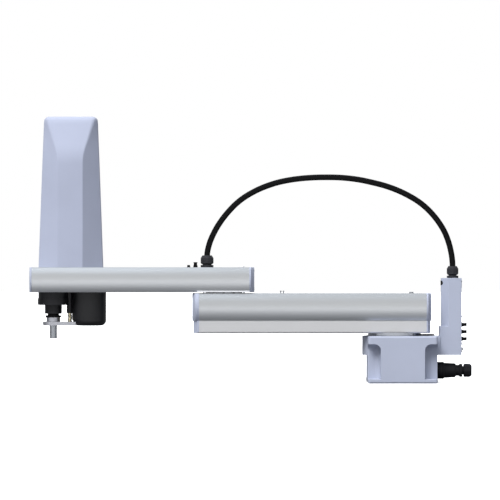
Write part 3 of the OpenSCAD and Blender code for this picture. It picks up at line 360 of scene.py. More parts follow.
def turned(name, code, roughness, centre_x=0.0, metallic=1.0, pitch=0.9):
    """Metal turned or ground about an upright axis: fine rings run round that axis and break
    up the highlights. The pitch is drawn coarser than the 0.1 mm of a real finishing cut."""
    material, tree = new_finish(name)
    where = add(tree, "ShaderNodeTexCoord").outputs["Object"]
    moved = add(
        tree, "ShaderNodeMapping", {"Vector": where, "Location": (-centre_x * MM, 0, 0)}
    )
    axes = add(tree, "ShaderNodeSeparateXYZ", {"Vector": moved.outputs["Vector"]})
    level = add(
        tree, "ShaderNodeCombineXYZ", {"X": axes.outputs["X"], "Y": axes.outputs["Y"]}
    )
    radius = add(
        tree, "ShaderNodeVectorMath", {0: level.outputs["Vector"]}, operation="LENGTH"
    )
    rings = add(
        tree, "ShaderNodeCombineXYZ", {"X": radius.outputs["Value"], "Z": axes.outputs["Z"]}
    )
    marks = add(
        tree, "ShaderNodeTexNoise",
        {"Vector": rings.outputs["Vector"], "Scale": 1 / (pitch * MM), "Detail": 2.0},
    ).outputs["Fac"]
    edge = add(tree, "ShaderNodeBevel", {"Radius": 0.6 * MM}, samples=4)
    drift = (marks, 0.3, 0.7, 0.94, 1.04)
    gloss = (marks, 0.0, 1.0, roughness - 0.05, roughness + 0.07)
    surface(tree, code, (drift,), gloss, (marks, 0.12, 0.06), edge, {"Metallic": metallic})
    return material


def moulded(name, code, roughness, grain, depth, sheen):
    """Black nylon, enamel or rubber: dark and even, with the fine grain of its mould."""
    material, tree = new_finish(name)
    where = add(tree, "ShaderNodeTexCoord").outputs["Object"]
    skin = add(
        tree, "ShaderNodeTexNoise", {"Vector": where, "Scale": 1 / (grain * MM), "Detail": 3.0}
    ).outputs["Fac"]
    tone = add(tree, "ShaderNodeTexNoise", {"Vector": where, "Scale": 30.0, "Detail": 2.0})
    edge = add(tree, "ShaderNodeBevel", {"Radius": 0.7 * MM}, samples=4)
    drift = (tone.outputs["Fac"], 0.0, 1.0, 0.8, 1.2)
    gloss = (skin, 0.0, 1.0, roughness - 0.06, roughness + 0.06)
    more = {"Specular IOR Level": sheen}
    surface(tree, code, (drift,), gloss, (skin, 0.25, depth), edge, more)
    return material


# lavender grey coat on the castings; the cover's coat is the same paint on a moulded shell
CASTING = powder_coat("powder_coated_casting", "#B4BACC")
COVER = powder_coat("powder_coated_cover", "#B3B9CD")
# both extrusions and the flat beam under them, which was drawn finer and looks paler
EXTRUSION = die_drawn("anodised_extrusion", "#C1C3C5", 0.75, 0.36)
BEAM = die_drawn("anodised_lower_beam", "#CCCCCD", 0.6, 0.42)
# the first hub's dark steel shows one pale patch at its middle; the second is near white,
# a painted highlight that keeps it bright in its shaded gap
HUB_1 = turned("turned_first_hub", "#A0A3A9", 0.17)
HUB_2 = turned("turned_second_hub", "#E6E8EE", 0.45, centre_x=SECOND_AXIS_X, metallic=0.2)
# the lands and the grease plug are near white, a painted highlight for bright milled
# metal; the milled lift plate is light grey
PAINTED_LAND_HIGHLIGHT = turned("milled_land_painted_highlight", "#F2F3F6", 0.4, metallic=0.15)
PLATE = turned("milled_lift_plate", "#AEAFB5", 0.30, centre_x=SPINDLE_X, metallic=0.8)
SHAFT = turned("ground_spindle_shaft", "#979A9F", 0.24, centre_x=SPINDLE_X, pitch=0.6)
STEEL = turned("ground_bearing_steel", "#B4B5B9", 0.30)
SCREW_STEEL = turned("rolled_lift_screw", "#B5AD92", 0.26, centre_x=SCREW_X, pitch=0.7)
SCREWS = turned("black_oxide_screws", "#1E1E20", 0.5, metallic=0.3, pitch=0.5)
ZINC = turned("zinc_plated_fittings", "#B9BBC0", 0.38, pitch=0.5)
# glass-filled nylon is dull, the motor's cover and the enamel are smoother, rubber is flattest;
# after the colour come the roughness, the grain, its depth and the sheen
NYLON = moulded("glass_filled_nylon", "#1F1F22", 0.52, 0.8, 0.06, 0.15)
COVER_BLACK = moulded("moulded_motor_cover", "#19191B", 0.40, 1.0, 0.03, 0.28)
ENAMEL = moulded("black_motor_enamel", "#202023", 0.40, 1.6, 0.04, 0.22)
RUBBER = moulded("nitrile_rubber", "#101011", 0.62, 1.2, 0.08, 0.12)
JACKET = moulded("conduit_jacket", "#0B0B0C", 0.48, 1.5, 0.03, 0.10)
PUSH_FITTING = moulded("acetal_push_fitting", "#0C0C0D", 0.42, 0.6, 0.02, 0.12)
GLAND_NYLON = moulded("gland_polyamide", "#2C2C30", 0.46, 0.8, 0.06, 0.25)

WORN_BY_NODE = {
    "base_casting": CASTING, "base_bottom_cover": ZINC, "j1_motor": ENAMEL,
    "j1_bearing_ring": STEEL, "j1_circular_spline": STEEL, "j1_flexspline": STEEL,
    "j1_wave_generator": STEEL, "j1_output_hub": HUB_1, "cable_post": CASTING,
    "post_rear_panel": CASTING, "post_screws": SCREWS, "base_air_ports": PUSH_FITTING,
    "base_user_connector": ZINC, "base_gland_body": GLAND_NYLON, "base_gland_nut": GLAND_NYLON,
    "robot_connector_socket": NYLON, "robot_connector_shell": NYLON,
    "robot_connector_nut": NYLON, "arm1_lower_beam": BEAM, "arm1_extrusion": EXTRUSION,
    "arm1_front_cap": CASTING, "arm1_rear_cap": CASTING, "arm1_lower_caps": CASTING,
    "arm1_cap_screws": SCREWS, "arm1_hub_screws": SCREWS, "arm1_top_fittings": ZINC,
    "j2_motor": ENAMEL, "j2_bearing_ring": STEEL, "j2_ring_screws": SCREWS,
    "j2_circular_spline": STEEL, "j2_flexspline": STEEL, "j2_wave_generator": STEEL,
    "j2_output_hub": HUB_2, "arm2_extrusion": EXTRUSION, "arm2_front_cap": CASTING,
    "arm2_rear_cap": CASTING, "arm2_cap_screws": SCREWS, "arm2_grease_plug": PAINTED_LAND_HIGHLIGHT,
    "arm_air_ports": PUSH_FITTING, "arm_user_connector": NYLON, "arm_gland_body": GLAND_NYLON,
    "arm_gland_nut": GLAND_NYLON, "spindle_cover": COVER, "lift_motor_cover": COVER_BLACK,
    "lift_motor": ENAMEL, "turn_motor": ENAMEL, "turn_belt": RUBBER, "lift_belt": RUBBER,
    "spindle_housing": ENAMEL, "spindle_bearings": STEEL, "spline_nut": SHAFT,
    "turn_motor_pulley": STEEL, "ball_nut": STEEL, "lift_motor_pulley": STEEL,
    "lift_plate": PLATE, "lift_bumper": RUBBER, "lift_screw": SCREW_STEEL,
    "spline_shaft": SHAFT, "conduit_arm_span": JACKET, "conduit_base_span": JACKET,
}
for node_name, finish in WORN_BY_NODE.items():
    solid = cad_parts[node_name]
    for slot in solid.material_slots:
        slot.link = "OBJECT"
        slot.material = finish

for piece in (arm_span, base_span):
    wear(piece, JACKET)


# Spindle cover

COVER_LOW, COVER_HIGH = ends("spindle_cover")
COVER_X, COVER_Z = (COVER_LOW.x + COVER_HIGH.x) / 2, COVER_LOW.z
COVER_LEN, COVER_DEPTH, COVER_H = COVER_HIGH - COVER_LOW
COVER_WALL = 3
COVER_DRAFT, SIDE_SHARE = 19, 0.4  # the ends lean in by this, and the sides by this share of it
BEVEL_LOW, BEVEL_HIGH = 362, 424  # the slope of the long sides starts softly between these
BEVEL_IN = 42  # the slope takes this off each side by the top
FACE_HALF = 43.5  # half the length of the flat side at the foot; it doubles by the top
CHAMFER, CHAMFER_CUT = 52, 34  # the corners' chamfer at the foot, and what it loses by the top
FINE_FROM, FINE_TO = 320, 512  # the outline is drawn at every 8 mm here, and at 40 mm below
CORNER_R, CORNER_MORE = 6, 14  # the corners' radius, and what it gains from CORNER_FROM up
CORNER_FROM = 350
TOP_R = 17


def rounded_ring(corners, radius, steps):
    """Rounds each corner of a convex outline."""
    ring = []
    for i, here in enumerate(corners):
        before, after = corners[i - 1], corners[(i + 1) % len(corners)]
        u, v = (before - here).normalized(), (after - here).normalized()
        half = u.angle(v) / 2
        room = 0.45 * min((before - here).length, (after - here).length)
        reach = min(radius / math.tan(half), room)
        r = reach * math.tan(half)
        centre = here + (u + v).normalized() * (r / math.sin(half))
        start, end = here + u * reach - centre, here + v * reach - centre
        turn = start.angle(end)
        for k in range(steps):
            t = k / (steps - 1)
            swung = start * math.sin((1 - t) * turn) + end * math.sin(t * turn)
            ring.append(centre + swung / math.sin(turn))
    return ring


def blend_in(z, low, high):
    """0 below low, rising to run straight on above high, with a soft start."""
    if z <= low:
        return 0.0
    if z >= high:
        return z - (low + high) / 2
    return (z - low) ** 2 / (2 * (high - low))


def cover_outline(z, inset):
    """The cover's eight-sided outline at a height, about its middle."""
    share = z / COVER_H
    bevel = blend_in(z, BEVEL_LOW, BEVEL_HIGH) / blend_in(COVER_H, BEVEL_LOW, BEVEL_HIGH)
    x = COVER_LEN / 2 - COVER_DRAFT * share - inset
    y = COVER_DEPTH / 2 - SIDE_SHARE * COVER_DRAFT * share - BEVEL_IN * bevel - inset
    face = FACE_HALF + FACE_HALF * bevel
    chamfer = CHAMFER - CHAMFER_CUT * bevel
    quarter = [(face - inset * 0.4, y), (x, y - chamfer + inset * 0.4)]
    corners = [(a, b) for a, b in quarter] + [(a, -b) for a, b in reversed(quarter)]
    corners += [(-a, -b) for a, b in quarter] + [(-a, b) for a, b in reversed(quarter)]
    return [Vector((a, b, 0)) for a, b in corners]


def make_cover():
    heights = [(z, 0) for z in (*range(0, FINE_FROM, 40), *range(FINE_FROM, FINE_TO, 8))]
    for k in range(1, 9):
        a = math.radians(90 * k / 8)
        heights.append((COVER_H - TOP_R + TOP_R * math.sin(a), TOP_R * (1 - math.cos(a))))
    points, size = [], 0
    for z, inset in heights:
        share = min(max((z - CORNER_FROM) / (COVER_H - CORNER_FROM), 0), 1)
        radius = CORNER_R + CORNER_MORE * share - inset * 0.3
        ring = rounded_ring(cover_outline(min(z, COVER_H), inset), radius, 7)
        size = len(ring)
        points += [((p.x + COVER_X) * MM, p.y * MM, (z + COVER_Z) * MM) for p in ring]
    faces = row_faces(len(heights), size, close_first=False)
    made = mesh_object("spindle_cover_shell", points, faces, smooth_over=50)
    return hollow(made, COVER_WALL, smooth_over=50)


cover = wear(make_cover(), COVER)
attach(cover, "second_arm")
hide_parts("spindle_cover")


# Lift motor's cover

CUP_WALL, CUP_RIM, CUP_SIDES = 3, 18, 96
BULGE, BULGE_RISE = 4, 6  # the bulge towards the screw, and the height over which it grows
BULGE_CLEAR = 2  # how far above the lift plate it starts


def make_motor_shell():
    """A moulded cup round the lift motor. Above the plate it bulges up to the lift screw,
    and its lower rim is well rounded."""
    low, high = ends("lift_motor_cover")
    centre_x, radius = (low.x + high.x) / 2, (high.x - low.x) / 2
    clear = PLATE_TOP + BULGE_CLEAR
    heights = {(high.z, 0), (low.z + CUP_RIM, 0)}
    heights |= {(clear + BULGE_RISE * k / 4, 0) for k in range(5)}
    for k in range(1, 9):
        a = math.radians(90 * k / 8)
        heights.add((low.z + CUP_RIM * (1 - math.sin(a)), CUP_RIM * (1 - math.cos(a))))
    points = []
    for z, inset in sorted(heights, reverse=True):
        t = min(max((z - clear) / BULGE_RISE, 0), 1)
        bulge = BULGE * t * t * (3 - 2 * t)
        for j in range(CUP_SIDES):
            a = 2 * math.pi * j / CUP_SIDES
            r = radius - inset + bulge * max(0.0, -math.cos(a)) ** 2
            points.append(((centre_x + r * math.cos(a)) * MM, r * math.sin(a) * MM, z * MM))
    faces = row_faces(len(heights), CUP_SIDES, close_first=False)
    made = mesh_object("lift_motor_shell", points, faces, smooth_over=35)
    return hollow(made, CUP_WALL, smooth_over=35)


shell = wear(make_motor_shell(), COVER_BLACK)
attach(shell, "second_arm")
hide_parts("lift_motor_cover")


# Dark sheet of painted shade


def make_shade_sheet():
    """A dark sheet of painted shade on the casting, hollowed round the first hub and running back
    towards the post. It stands for the shade line along the casting's top."""
    hub_low, hub_high = ends("j1_output_hub")
    hub_rise, thick, half, corner = 10.5, 2.4, 44, 5
    hub_room, post_room, reach = 4, 2, 140
    seat = hub_high.z - hub_rise
    near = (hub_high.x - hub_low.x) / 2 + hub_room
    far = min(POST_FRONT - post_room, reach)
    turn = math.asin(half / near)
    turns = [turn * (1 - k / 12) for k in range(25)]
    outline = [(near * math.cos(a), near * math.sin(a)) for a in turns]
    arc = [math.radians(90 * k / 5) for k in range(6)]
    for side in (-1, 1):
        bend = [
            (far - corner + corner * math.sin(a), side * (half - corner + corner * math.cos(a)))
            for a in arc
        ]
        outline += bend if side < 0 else list(reversed(bend))
    points = [(x * MM, y * MM, z * MM) for z in (seat, seat + thick) for x, y in outline]
    faces = row_faces(2, len(outline))
    return soften(mesh_object("casting_shade_sheet", points, faces, smooth_over=30), 0.4)


# painted shade: a black sheet for the shade line along the casting's top
shade_sheet = wear(make_shade_sheet(), RUBBER)
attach(shade_sheet, "base")


# End caps


def make_cap(node, edge, run, sink):
    """Cast cap on one end of an arm. It carries on the arm's bulged side and then tapers
    evenly, so the taper starts along a straight upright line. The edge is the half width at the
    arm's top and bottom, and the taper runs so far along and sinks so far in."""
    low, high = ends(node)
    tall, wide = high.z - low.z, high.y
    bulge = wide - edge
    radius = ((tall / 2) ** 2 + bulge**2) / (2 * bulge)
    steps = 28
    side = []
    for k in range(steps + 1):
        z = tall * k / steps
        side.append((wide - radius + math.sqrt(radius**2 - (tall / 2 - z) ** 2), low.z + z))
    # the end that faces away from the middle of its arm is the tapered one
    body = "arm1_extrusion" if node.startswith("arm1") else "arm2_extrusion"
    outwards = 1 if (low.x + high.x) / 2 > middle(body).x else -1
    inner, outer = (low.x, high.x) if outwards > 0 else (high.x, low.x)
    points = []
    for x, inset in ((inner, 0), (outer - outwards * run, 0), (outer, sink)):
        points += [(x * MM, (y - inset) * MM, z * MM) for y, z in side]
        points += [(x * MM, (inset - y) * MM, z * MM) for y, z in reversed(side)]
    made = mesh_object(node + "_shaped", points, row_faces(3, 2 * len(side)), smooth_over=12)
    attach(made, "first_arm" if node.startswith("arm1") else "second_arm")
    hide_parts(node)
    return wear(made, CASTING)


for node, edge, run, sink in (
    ("arm1_front_cap", 82, 11, 24), ("arm1_rear_cap", 82, 11, 24),
    ("arm2_front_cap", 80, 4.5, 8), ("arm2_rear_cap", 80, 12, 24),
):
    make_cap(node, edge, run, sink)


# Post's gland and plug

GLAND_SHARE = 0.9  # the post's gland is this wide beside the arm's


def narrowed(node, share, finish):
    """The post's gland is a size smaller than the arm's: the same form, drawn in round its
    axis."""
    centre = middle(node)
    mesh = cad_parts[node].data.copy()
    work = bmesh.new()
    work.from_mesh(mesh)
    bmesh.ops.remove_doubles(work, verts=work.verts, dist=1e-6)
    for vert in work.verts:
        vert.co.x = centre.x * MM + share * (vert.co.x - centre.x * MM)
        vert.co.y = centre.y * MM + share * (vert.co.y - centre.y * MM)
    work.to_mesh(mesh)
    work.free()
    sharpen(mesh, 30)
    made = wear(plain_object(node + "_narrow", mesh), finish)
    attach(made, "base")
    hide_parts(node)


for node in ("base_gland_nut", "base_gland_body"):
    narrowed(node, GLAND_SHARE, GLAND_NYLON)


def make_side_plug():
    """Black oval plug in the inner face of the post, near its top."""
    # the face that it sits in stands back from the foremost part of the post
    set_back, below_top = 6, 17
    radius, half, proud, deep = 9.2, 14, 0.8, 6
    face_x, centre_z = POST_FRONT + set_back, POST_TOP - below_top
    outline = []
    for side in (1, -1):
        for k in range(13):
            a = math.radians(-90 + 180 * k / 12)
            outline.append((side * (half + radius * math.cos(a)), side * radius * math.sin(a)))
    points = [
        (x * MM, y * MM, (centre_z + z) * MM)
        for x in (face_x - proud, face_x + deep) for y, z in outline
    ]
    faces = row_faces(2, len(outline))
    return soften(mesh_object("post_side_plug", points, faces, smooth_over=30), 0.5)


plug = wear(make_side_plug(), RUBBER)
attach(plug, "base")


# Milled lands

# outline of a land: out from its inner edge, and up from the arm's underside
LAND_PROFILE = ((0, 0.1), (4.9, 0.1), (5.2, 0.5), (5.2, 5.0), (4.4, 5.6))
LAND_HALF = 79.6  # half the distance between the lands' inner edges
LAND_IN, LAND_PAST = 17, 1  # past the first arm's end, and into the second arm's rear cap


def make_lands():
    """Narrow upright lands milled along both lower edges of the second arm, over the first
    arm. Each stands just outside the bulged side."""
    first = ends("arm1_front_cap")[0].x + LAND_IN
    last = ends("arm2_rear_cap")[0].x + LAND_PAST
    size = len(LAND_PROFILE)
    points, faces = [], []
    for side in (-1, 1):
        faces += row_faces(2, size, start=len(points))
        for x in (first, last):
            for out, up in LAND_PROFILE:
                points.append((x * MM, side * (LAND_HALF + out) * MM, (ARM_FOOT + up) * MM))
    return mesh_object("arm2_milled_lands", points, faces, smooth_over=20)


# Lift screw

JOURNAL_R, JOURNAL_H = 5, 12.5  # the plain foot that the lift plate holds
THREAD_R, THREAD_LEAD = 7.25, 20
THREAD_FROM = 4  # the groove starts this far above the journal
GROOVE_DEPTH, GROOVE_HALF = 1.3, 3.2


def make_lift_screw():
    """A rolled screw with one ball groove that climbs 20 mm each turn."""
    foot, high = ends("lift_screw")[0].z, ends("lift_screw")[1].z
    low, sides, step = foot + JOURNAL_H, 28, 1.25
    count = int((high - low) / step)
    rows = [(foot, JOURNAL_R), (low, JOURNAL_R)]
    rows += [(low + (high - low) * i / count, THREAD_R) for i in range(count + 1)]
    points = []
    for z, radius in rows:
        for j in range(sides):
            a, r = 2 * math.pi * j / sides, radius
            if z - low > THREAD_FROM:
                off = (z / THREAD_LEAD - j / sides) % 1
                across = min(off, 1 - off) * THREAD_LEAD
                r -= GROOVE_DEPTH * math.sqrt(max(0.0, 1 - (across / GROOVE_HALF) ** 2))
            points.append(((SCREW_X + r * math.cos(a)) * MM, r * math.sin(a) * MM, z * MM))
    return mesh_object("lift_screw_thread", points, row_faces(len(rows), sides), smooth_over=35)


# painted highlight: the lands are near white, standing in for the bright milled faces
lands = wear(make_lands(), PAINTED_LAND_HIGHLIGHT)
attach(lands, "second_arm")

thread = wear(make_lift_screw(), SCREW_STEEL)
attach(thread, "lift")
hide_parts("lift_screw")


# Repeated details


def new_tree(name, inputs):
    """A geometry tree that gives out geometry, with its named inputs and their kinds."""
    tree = bpy.data.node_groups.new(name, "GeometryNodeTree")
    for title, kind in inputs:
        tree.interface.new_socket(title, in_out="INPUT", socket_type="NodeSocket" + kind)
    tree.interface.new_socket("Geometry", in_out="OUTPUT", socket_type="NodeSocketGeometry")
    return tree


def give_out(tree, row, finish):
    """Ends a tree: its instances become real mesh in one finish."""
    real = add(tree, "GeometryNodeRealizeInstances", {"Geometry": row.outputs["Instances"]})
    dressed = add(
        tree, "GeometryNodeSetMaterial",
        {"Geometry": real.outputs["Geometry"], "Material": finish},
    )
    add(tree, "NodeGroupOutput", {"Geometry": dressed.outputs["Geometry"]})


def run_nodes(name, mesh, tree, values):
    """Puts a tree on a mesh, gives it its named inputs, and keeps what it makes as plain mesh."""
    made = plain_object(name, mesh)
    changer = made.modifiers.new("repeats", "NODES")
    changer.node_group = tree
    for socket in tree.interface.items_tree:
        if socket.in_out == "INPUT" and socket.name in values:
            changer[socket.identifier] = values[socket.name]
    return apply_modifiers(made)


def grip_ribs(name, count, radius, size, finish):
    """Ribs standing round an upright axis, for a hand to grip."""
    tree = new_tree(name, (("Ribs", "Int"), ("Radius", "Float"), ("Rib size", "Vector")))
    given = add(tree, "NodeGroupInput")
    circle = add(
        tree, "GeometryNodeMeshCircle",
        {"Vertices": given.outputs["Ribs"], "Radius": given.outputs["Radius"]},
    )
    rib = add(tree, "GeometryNodeMeshCube", {"Size": given.outputs["Rib size"]})
    place = add(tree, "GeometryNodeInputPosition")
    aim = add(
        tree, "FunctionNodeAlignRotationToVector", {"Vector": place.outputs["Position"]},
        axis="X",
    )
    row = add(
        tree, "GeometryNodeInstanceOnPoints",
        {
            "Points": circle.outputs["Mesh"], "Instance": rib.outputs["Mesh"],
            "Rotation": aim.outputs["Rotation"],
        },
    )
    give_out(tree, row, finish)
    values = {"Ribs": count, "Radius": radius * MM, "Rib size": [s * MM for s in size]}
    return soften(run_nodes(name, bpy.data.meshes.new(name), tree, values), 0.3)


def socket_heads(name, places, radius, height, turn, finish):
    """Cap screw heads with a hexagon socket, one at each place, turned to face outwards."""
    tree = new_tree(
        name,
        (
            ("Geometry", "Geometry"), ("Head radius", "Float"), ("Head height", "Float"),
            ("Socket radius", "Float"),
        ),
    )
    given = add(tree, "NodeGroupInput")
    tall = given.outputs["Head height"]
    head, hexagon = (
        add(
            tree, "GeometryNodeMeshCylinder",
            {"Vertices": sides, "Radius": given.outputs[across], "Depth": tall},
        )
        for sides, across in ((32, "Head radius"), (6, "Socket radius"))
    )
    # the socket's cutter is raised, so that it leaves the lower 0.45 of the head solid
    lift = add(tree, "ShaderNodeMath", {0: tall, 1: 0.45}, operation="MULTIPLY")
    up = add(tree, "ShaderNodeCombineXYZ", {"Z": lift.outputs["Value"]})
    raised = add(
        tree, "GeometryNodeTransform",
        {"Geometry": hexagon.outputs["Mesh"], "Translation": up.outputs["Vector"]},
    )
    cut = add(tree, "GeometryNodeMeshBoolean", operation="DIFFERENCE")
    tree.links.new(head.outputs["Mesh"], cut.inputs["Mesh 1"])
    tree.links.new(raised.outputs["Geometry"], cut.inputs["Mesh 2"])
    row = add(
        tree, "GeometryNodeInstanceOnPoints",
        {"Points": given.outputs["Geometry"], "Instance": cut.outputs["Mesh"], "Rotation": turn},
    )
    give_out(tree, row, finish)
    points = bpy.data.meshes.new(name)
    points.from_pydata([tuple(Vector(p) * MM) for p in places], [], [])
    values = {
        "Head radius": radius * MM, "Head height": height * MM,
        "Socket radius": radius * 0.56 * MM,
    }
    return run_nodes(name, points, tree, values)


def on_circle(x, z, radius, count, start):
    turns = [math.radians(start + 360 * i / count) for i in range(count)]
    return [(x + radius * math.cos(a), radius * math.sin(a), z) for a in turns]


def fit(piece, body):
    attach(piece, body)


# grips round the glands' nuts, and how high their middle is above the gland's foot
GRIP_R, GRIP_Z = 22.1, 24
for name, body, (x, z), share in (
    ("arm_gland_grip", "second_arm", GLAND_A, 1.0),
    ("base_gland_grip", "base", GLAND_B, GLAND_SHARE),
):
    grip = grip_ribs(name, 24, GRIP_R * share, (0.9, 2.2, 9.0), GLAND_NYLON)
    grip.data.transform(Matrix.Translation(Vector((x, 0, z + GRIP_Z)) * MM))
    fit(grip, body)

# grips round the robot connector, sunk a little into its shell and its nut
GRIP_SUNK = 0.3
SHELL_GRIP, NUT_GRIP = 5, 2  # in from the shell's end, and back from the nut's middle
for name, node, count, size in (
    ("robot_connector_shell_grip", "robot_connector_shell", 30, (0.8, 2.4, 7.0)),
    ("robot_connector_nut_grip", "robot_connector_nut", 24, (0.8, 2.0, 14.0)),
):
    low, high = ends(node)
    grip = grip_ribs(name, count, (high.z - low.z) / 2 - GRIP_SUNK, size, NYLON)
    shell_x, nut_x = low.x + SHELL_GRIP, (low.x + high.x) / 2 - NUT_GRIP
    along = shell_x if node.endswith("shell") else nut_x
    place = Matrix.Translation(Vector((along, 0, (low.z + high.z) / 2)) * MM)
    grip.data.transform(place @ Matrix.Rotation(math.radians(90), 4, "Y"))
    fit(grip, "base")

# screws that hold the spindle's housing, in the counterbores under its flange
FLANGE_Z = ARM_FOOT - 45
HOUSING_CIRCLE_R, HEAD_SUNK = 43, 3.4
housing_heads = socket_heads(
    "housing_screw_heads",
    on_circle(SPINDLE_X, FLANGE_Z + HEAD_SUNK, HOUSING_CIRCLE_R, count=6, start=30),
    radius=3.9, height=5.0, turn=(math.pi, 0, 0), finish=SCREWS,
)
fit(housing_heads, "second_arm")

# four flush screws in each end cap; those of the front cap stand for the arm's node of screws
CAP_SUNK, CAP_HALF, CAP_IN = 1.6, 60, 12
for arm, body in (("arm1", "first_arm"), ("arm2", "second_arm")):
    low, high = ends(arm + "_extrusion")
    levels = (low.z + CAP_IN, high.z - CAP_IN)
    for end, facing in (("front", -1), ("rear", 1)):
        cap_low, cap_high = ends(f"{arm}_{end}_cap")
        x = (cap_low.x if facing < 0 else cap_high.x) - facing * CAP_SUNK
        places = [(x, y, z) for y in (-CAP_HALF, CAP_HALF) for z in levels]
        heads = socket_heads(
            f"{arm}_{end}_cap_screw_heads", places, radius=4.2, height=4.0,
            turn=(0, facing * math.pi / 2, 0), finish=SCREWS,
        )
        fit(heads, body)
        if end == "front":
            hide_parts(arm + "_cap_screws")

# screws in the lift plate, round its collar
PLATE_SUNK, PLATE_CIRCLE_R = 2.9, 30.4
plate_heads = socket_heads(
    "lift_plate_screw_heads",
    on_circle(SPINDLE_X, PLATE_TOP - PLATE_SUNK, PLATE_CIRCLE_R, count=4, start=45),
    radius=2.8, height=3.6, turn=(0, 0, 0), finish=ZINC,
)
fit(plate_heads, "lift")


# Floor and light


def seen_directly(tree):
    """The kinds of ray, and a value that is 1 where the camera looks straight at a thing or
    through something clear."""
    rays = add(tree, "ShaderNodeLightPath").outputs
    direct = add(
        tree, "ShaderNodeMath",
        {0: rays["Is Camera Ray"], 1: rays["Is Transmission Ray"]}, operation="MAXIMUM",
    )
    return rays, direct.outputs["Value"]


def pale_floor():
    """A floor which the camera sees as the white backdrop with the object's shadow on it.
    The light that it throws back on the object is that of a grey one. Lengths here are in
    metres."""
    mesh = bpy.data.meshes.new("pale_floor")
    corners = [(-30, -30, 0), (30, -30, 0), (30, 30, 0), (-30, 30, 0)]
    mesh.from_pydata(corners, [], [(0, 1, 2, 3)])
    floor = plain_object("pale_floor", mesh)
    material, tree = new_finish("pale_floor")
    paint = add(tree, "ShaderNodeBsdfDiffuse", {"Color": linear("#F4F4F4")})
    glow = add(tree, "ShaderNodeEmission", {"Color": (1, 1, 1, 1), "Strength": 0.62})
    seen = add(
        tree, "ShaderNodeAddShader", {0: paint.outputs["BSDF"], 1: glow.outputs["Emission"]}
    )
    dull = add(tree, "ShaderNodeBsdfDiffuse", {"Color": linear("#6E6F72")})
    # in reflections the floor in front turns pale from 0.14 to 0.95 m out
    where = add(tree, "ShaderNodeTexCoord").outputs["Object"]
    axes = add(tree, "ShaderNodeSeparateXYZ", {"Vector": where})
    out = add(tree, "ShaderNodeMath", {0: axes.outputs["Y"], 1: -1.0}, operation="MULTIPLY")
    away = add(
        tree, "ShaderNodeMapRange",
        {
            "Value": out.outputs["Value"], "From Min": 0.14, "From Max": 0.95, "To Min": 0.0,
            "To Max": 0.66,
        },
    )
    rays, direct = seen_directly(tree)
    mirrored = add(
        tree, "ShaderNodeMath", {0: rays["Is Glossy Ray"], 1: away.outputs["Result"]},
        operation="MULTIPLY",
    )
    looked_at = add(
        tree, "ShaderNodeMath", {0: direct, 1: mirrored.outputs["Value"]}, operation="MAXIMUM"
    )
    mixed = add(
        tree, "ShaderNodeMixShader",
        {0: looked_at.outputs["Value"], 1: dull.outputs["BSDF"], 2: seen.outputs["Shader"]},
    )
    add(tree, "ShaderNodeOutputMaterial", {"Surface": mixed.outputs["Shader"]})
    floor.data.materials.append(material)


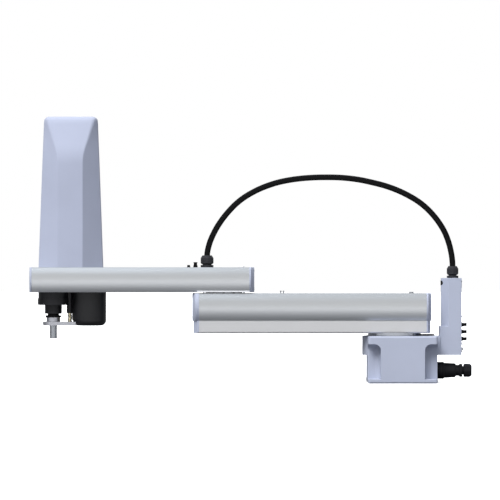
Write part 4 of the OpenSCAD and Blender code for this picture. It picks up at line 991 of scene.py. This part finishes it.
def studio_world():
    """White to the camera. As light it is stronger from above and weaker from the right; in
    reflections it is white in front, cooler high up, and dim to both sides and behind."""
    world = bpy.data.worlds.new("studio")
    world.use_nodes = True
    tree = world.node_tree
    tree.nodes.clear()
    rays, direct = seen_directly(tree)
    way = add(tree, "ShaderNodeTexCoord").outputs["Generated"]
    axes = add(tree, "ShaderNodeSeparateXYZ", {"Vector": way})
    # along which axis each one changes, from where to where, and its first and last strength
    high, side, left, right, back = (
        add(
            tree, "ShaderNodeMapRange",
            {
                "Value": axes.outputs[axis], "From Min": start, "From Max": stop,
                "To Min": first, "To Max": last,
            },
        ).outputs["Result"]
        for axis, start, stop, first, last in (
            ("Z", 0.0, 1.0, 0.40, 0.95), ("X", -1.0, 1.0, 1.03, 0.82),
            ("X", -1.0, -0.65, 0.15, 1.0), ("X", 0.3, 0.85, 1.0, 0.2),
            ("Y", 0.4, 1.0, 1.0, 0.55),
        )
    )
    level = add(tree, "ShaderNodeMath", {0: high, 1: side}, operation="MULTIPLY")
    light = add(
        tree, "ShaderNodeBackground",
        {"Color": linear("#EEF2F9"), "Strength": level.outputs["Value"]},
    )
    # the reflected studio by height: white wall, then a plain ceiling that turns cool
    sky = add(tree, "ShaderNodeValToRGB", {"Fac": axes.outputs["Z"]})
    stops = ((0.25, (0.95, 0.95, 0.95)), (0.5, (0.79, 0.79, 0.79)), (0.8, (0.80, 0.84, 0.89)))
    sky.color_ramp.elements[0].color = (1, 1, 1, 1)
    sky.color_ramp.elements[1].color = (0.86, 0.92, 0.98, 1)
    for height, colour in stops:
        sky.color_ramp.elements.new(height).color = (*colour, 1)
    sides = add(tree, "ShaderNodeMath", {0: left, 1: right}, operation="MINIMUM")
    around = add(
        tree, "ShaderNodeMath", {0: sides.outputs["Value"], 1: back}, operation="MULTIPLY"
    )
    mirrored = add(
        tree, "ShaderNodeBackground",
        {"Color": sky.outputs["Color"], "Strength": around.outputs["Value"]},
    )
    white = add(tree, "ShaderNodeBackground", {"Color": (1, 1, 1, 1), "Strength": 1.0})
    lit = add(
        tree, "ShaderNodeMixShader",
        {
            0: rays["Is Glossy Ray"], 1: light.outputs["Background"],
            2: mirrored.outputs["Background"],
        },
    )
    mixed = add(
        tree, "ShaderNodeMixShader",
        {0: direct, 1: lit.outputs["Shader"], 2: white.outputs["Background"]},
    )
    add(tree, "ShaderNodeOutputWorld", {"Surface": mixed.outputs["Shader"]})
    bpy.context.scene.world = world


def broad_light(name, towards, strength, spread, glossy):
    """Even light from one side, as from a large distant softbox. The front one stays out of
    reflections, where the white surroundings already stand for it."""
    lamp = bpy.data.lights.new(name, "SUN")
    lamp.energy = strength
    lamp.angle = math.radians(spread)
    made = plain_object(name, lamp)
    made.rotation_euler = Vector(towards).to_track_quat("-Z", "Y").to_euler()
    made.visible_glossy = glossy


def reflected_panel():
    """A soft panel above the second arm that only shows in its metal. Lengths are in metres."""
    lamp = bpy.data.lights.new("reflected_panel", "AREA")
    lamp.shape, lamp.size, lamp.size_y = "RECTANGLE", 1.3, 1.3
    lamp.energy, lamp.color = 2.7, (0.85, 0.95, 1.08)
    made = plain_object("reflected_panel", lamp)
    place, aim = Vector((-1.3, -0.85, 2.0)), Vector((-1.2, 0, 0.4))
    made.location = place
    made.rotation_euler = (aim - place).to_track_quat("-Z", "Y").to_euler()
    made.visible_diffuse = made.visible_camera = False


pale_floor()
studio_world()
reflected_panel()
broad_light("front_light", (0.30, 0.54, -0.79), 3.4, 34, False)
broad_light("back_light", (-0.1, -0.8, -0.5), 0.35, 60, True)
bpy.context.scene.view_settings.view_transform = "Standard"
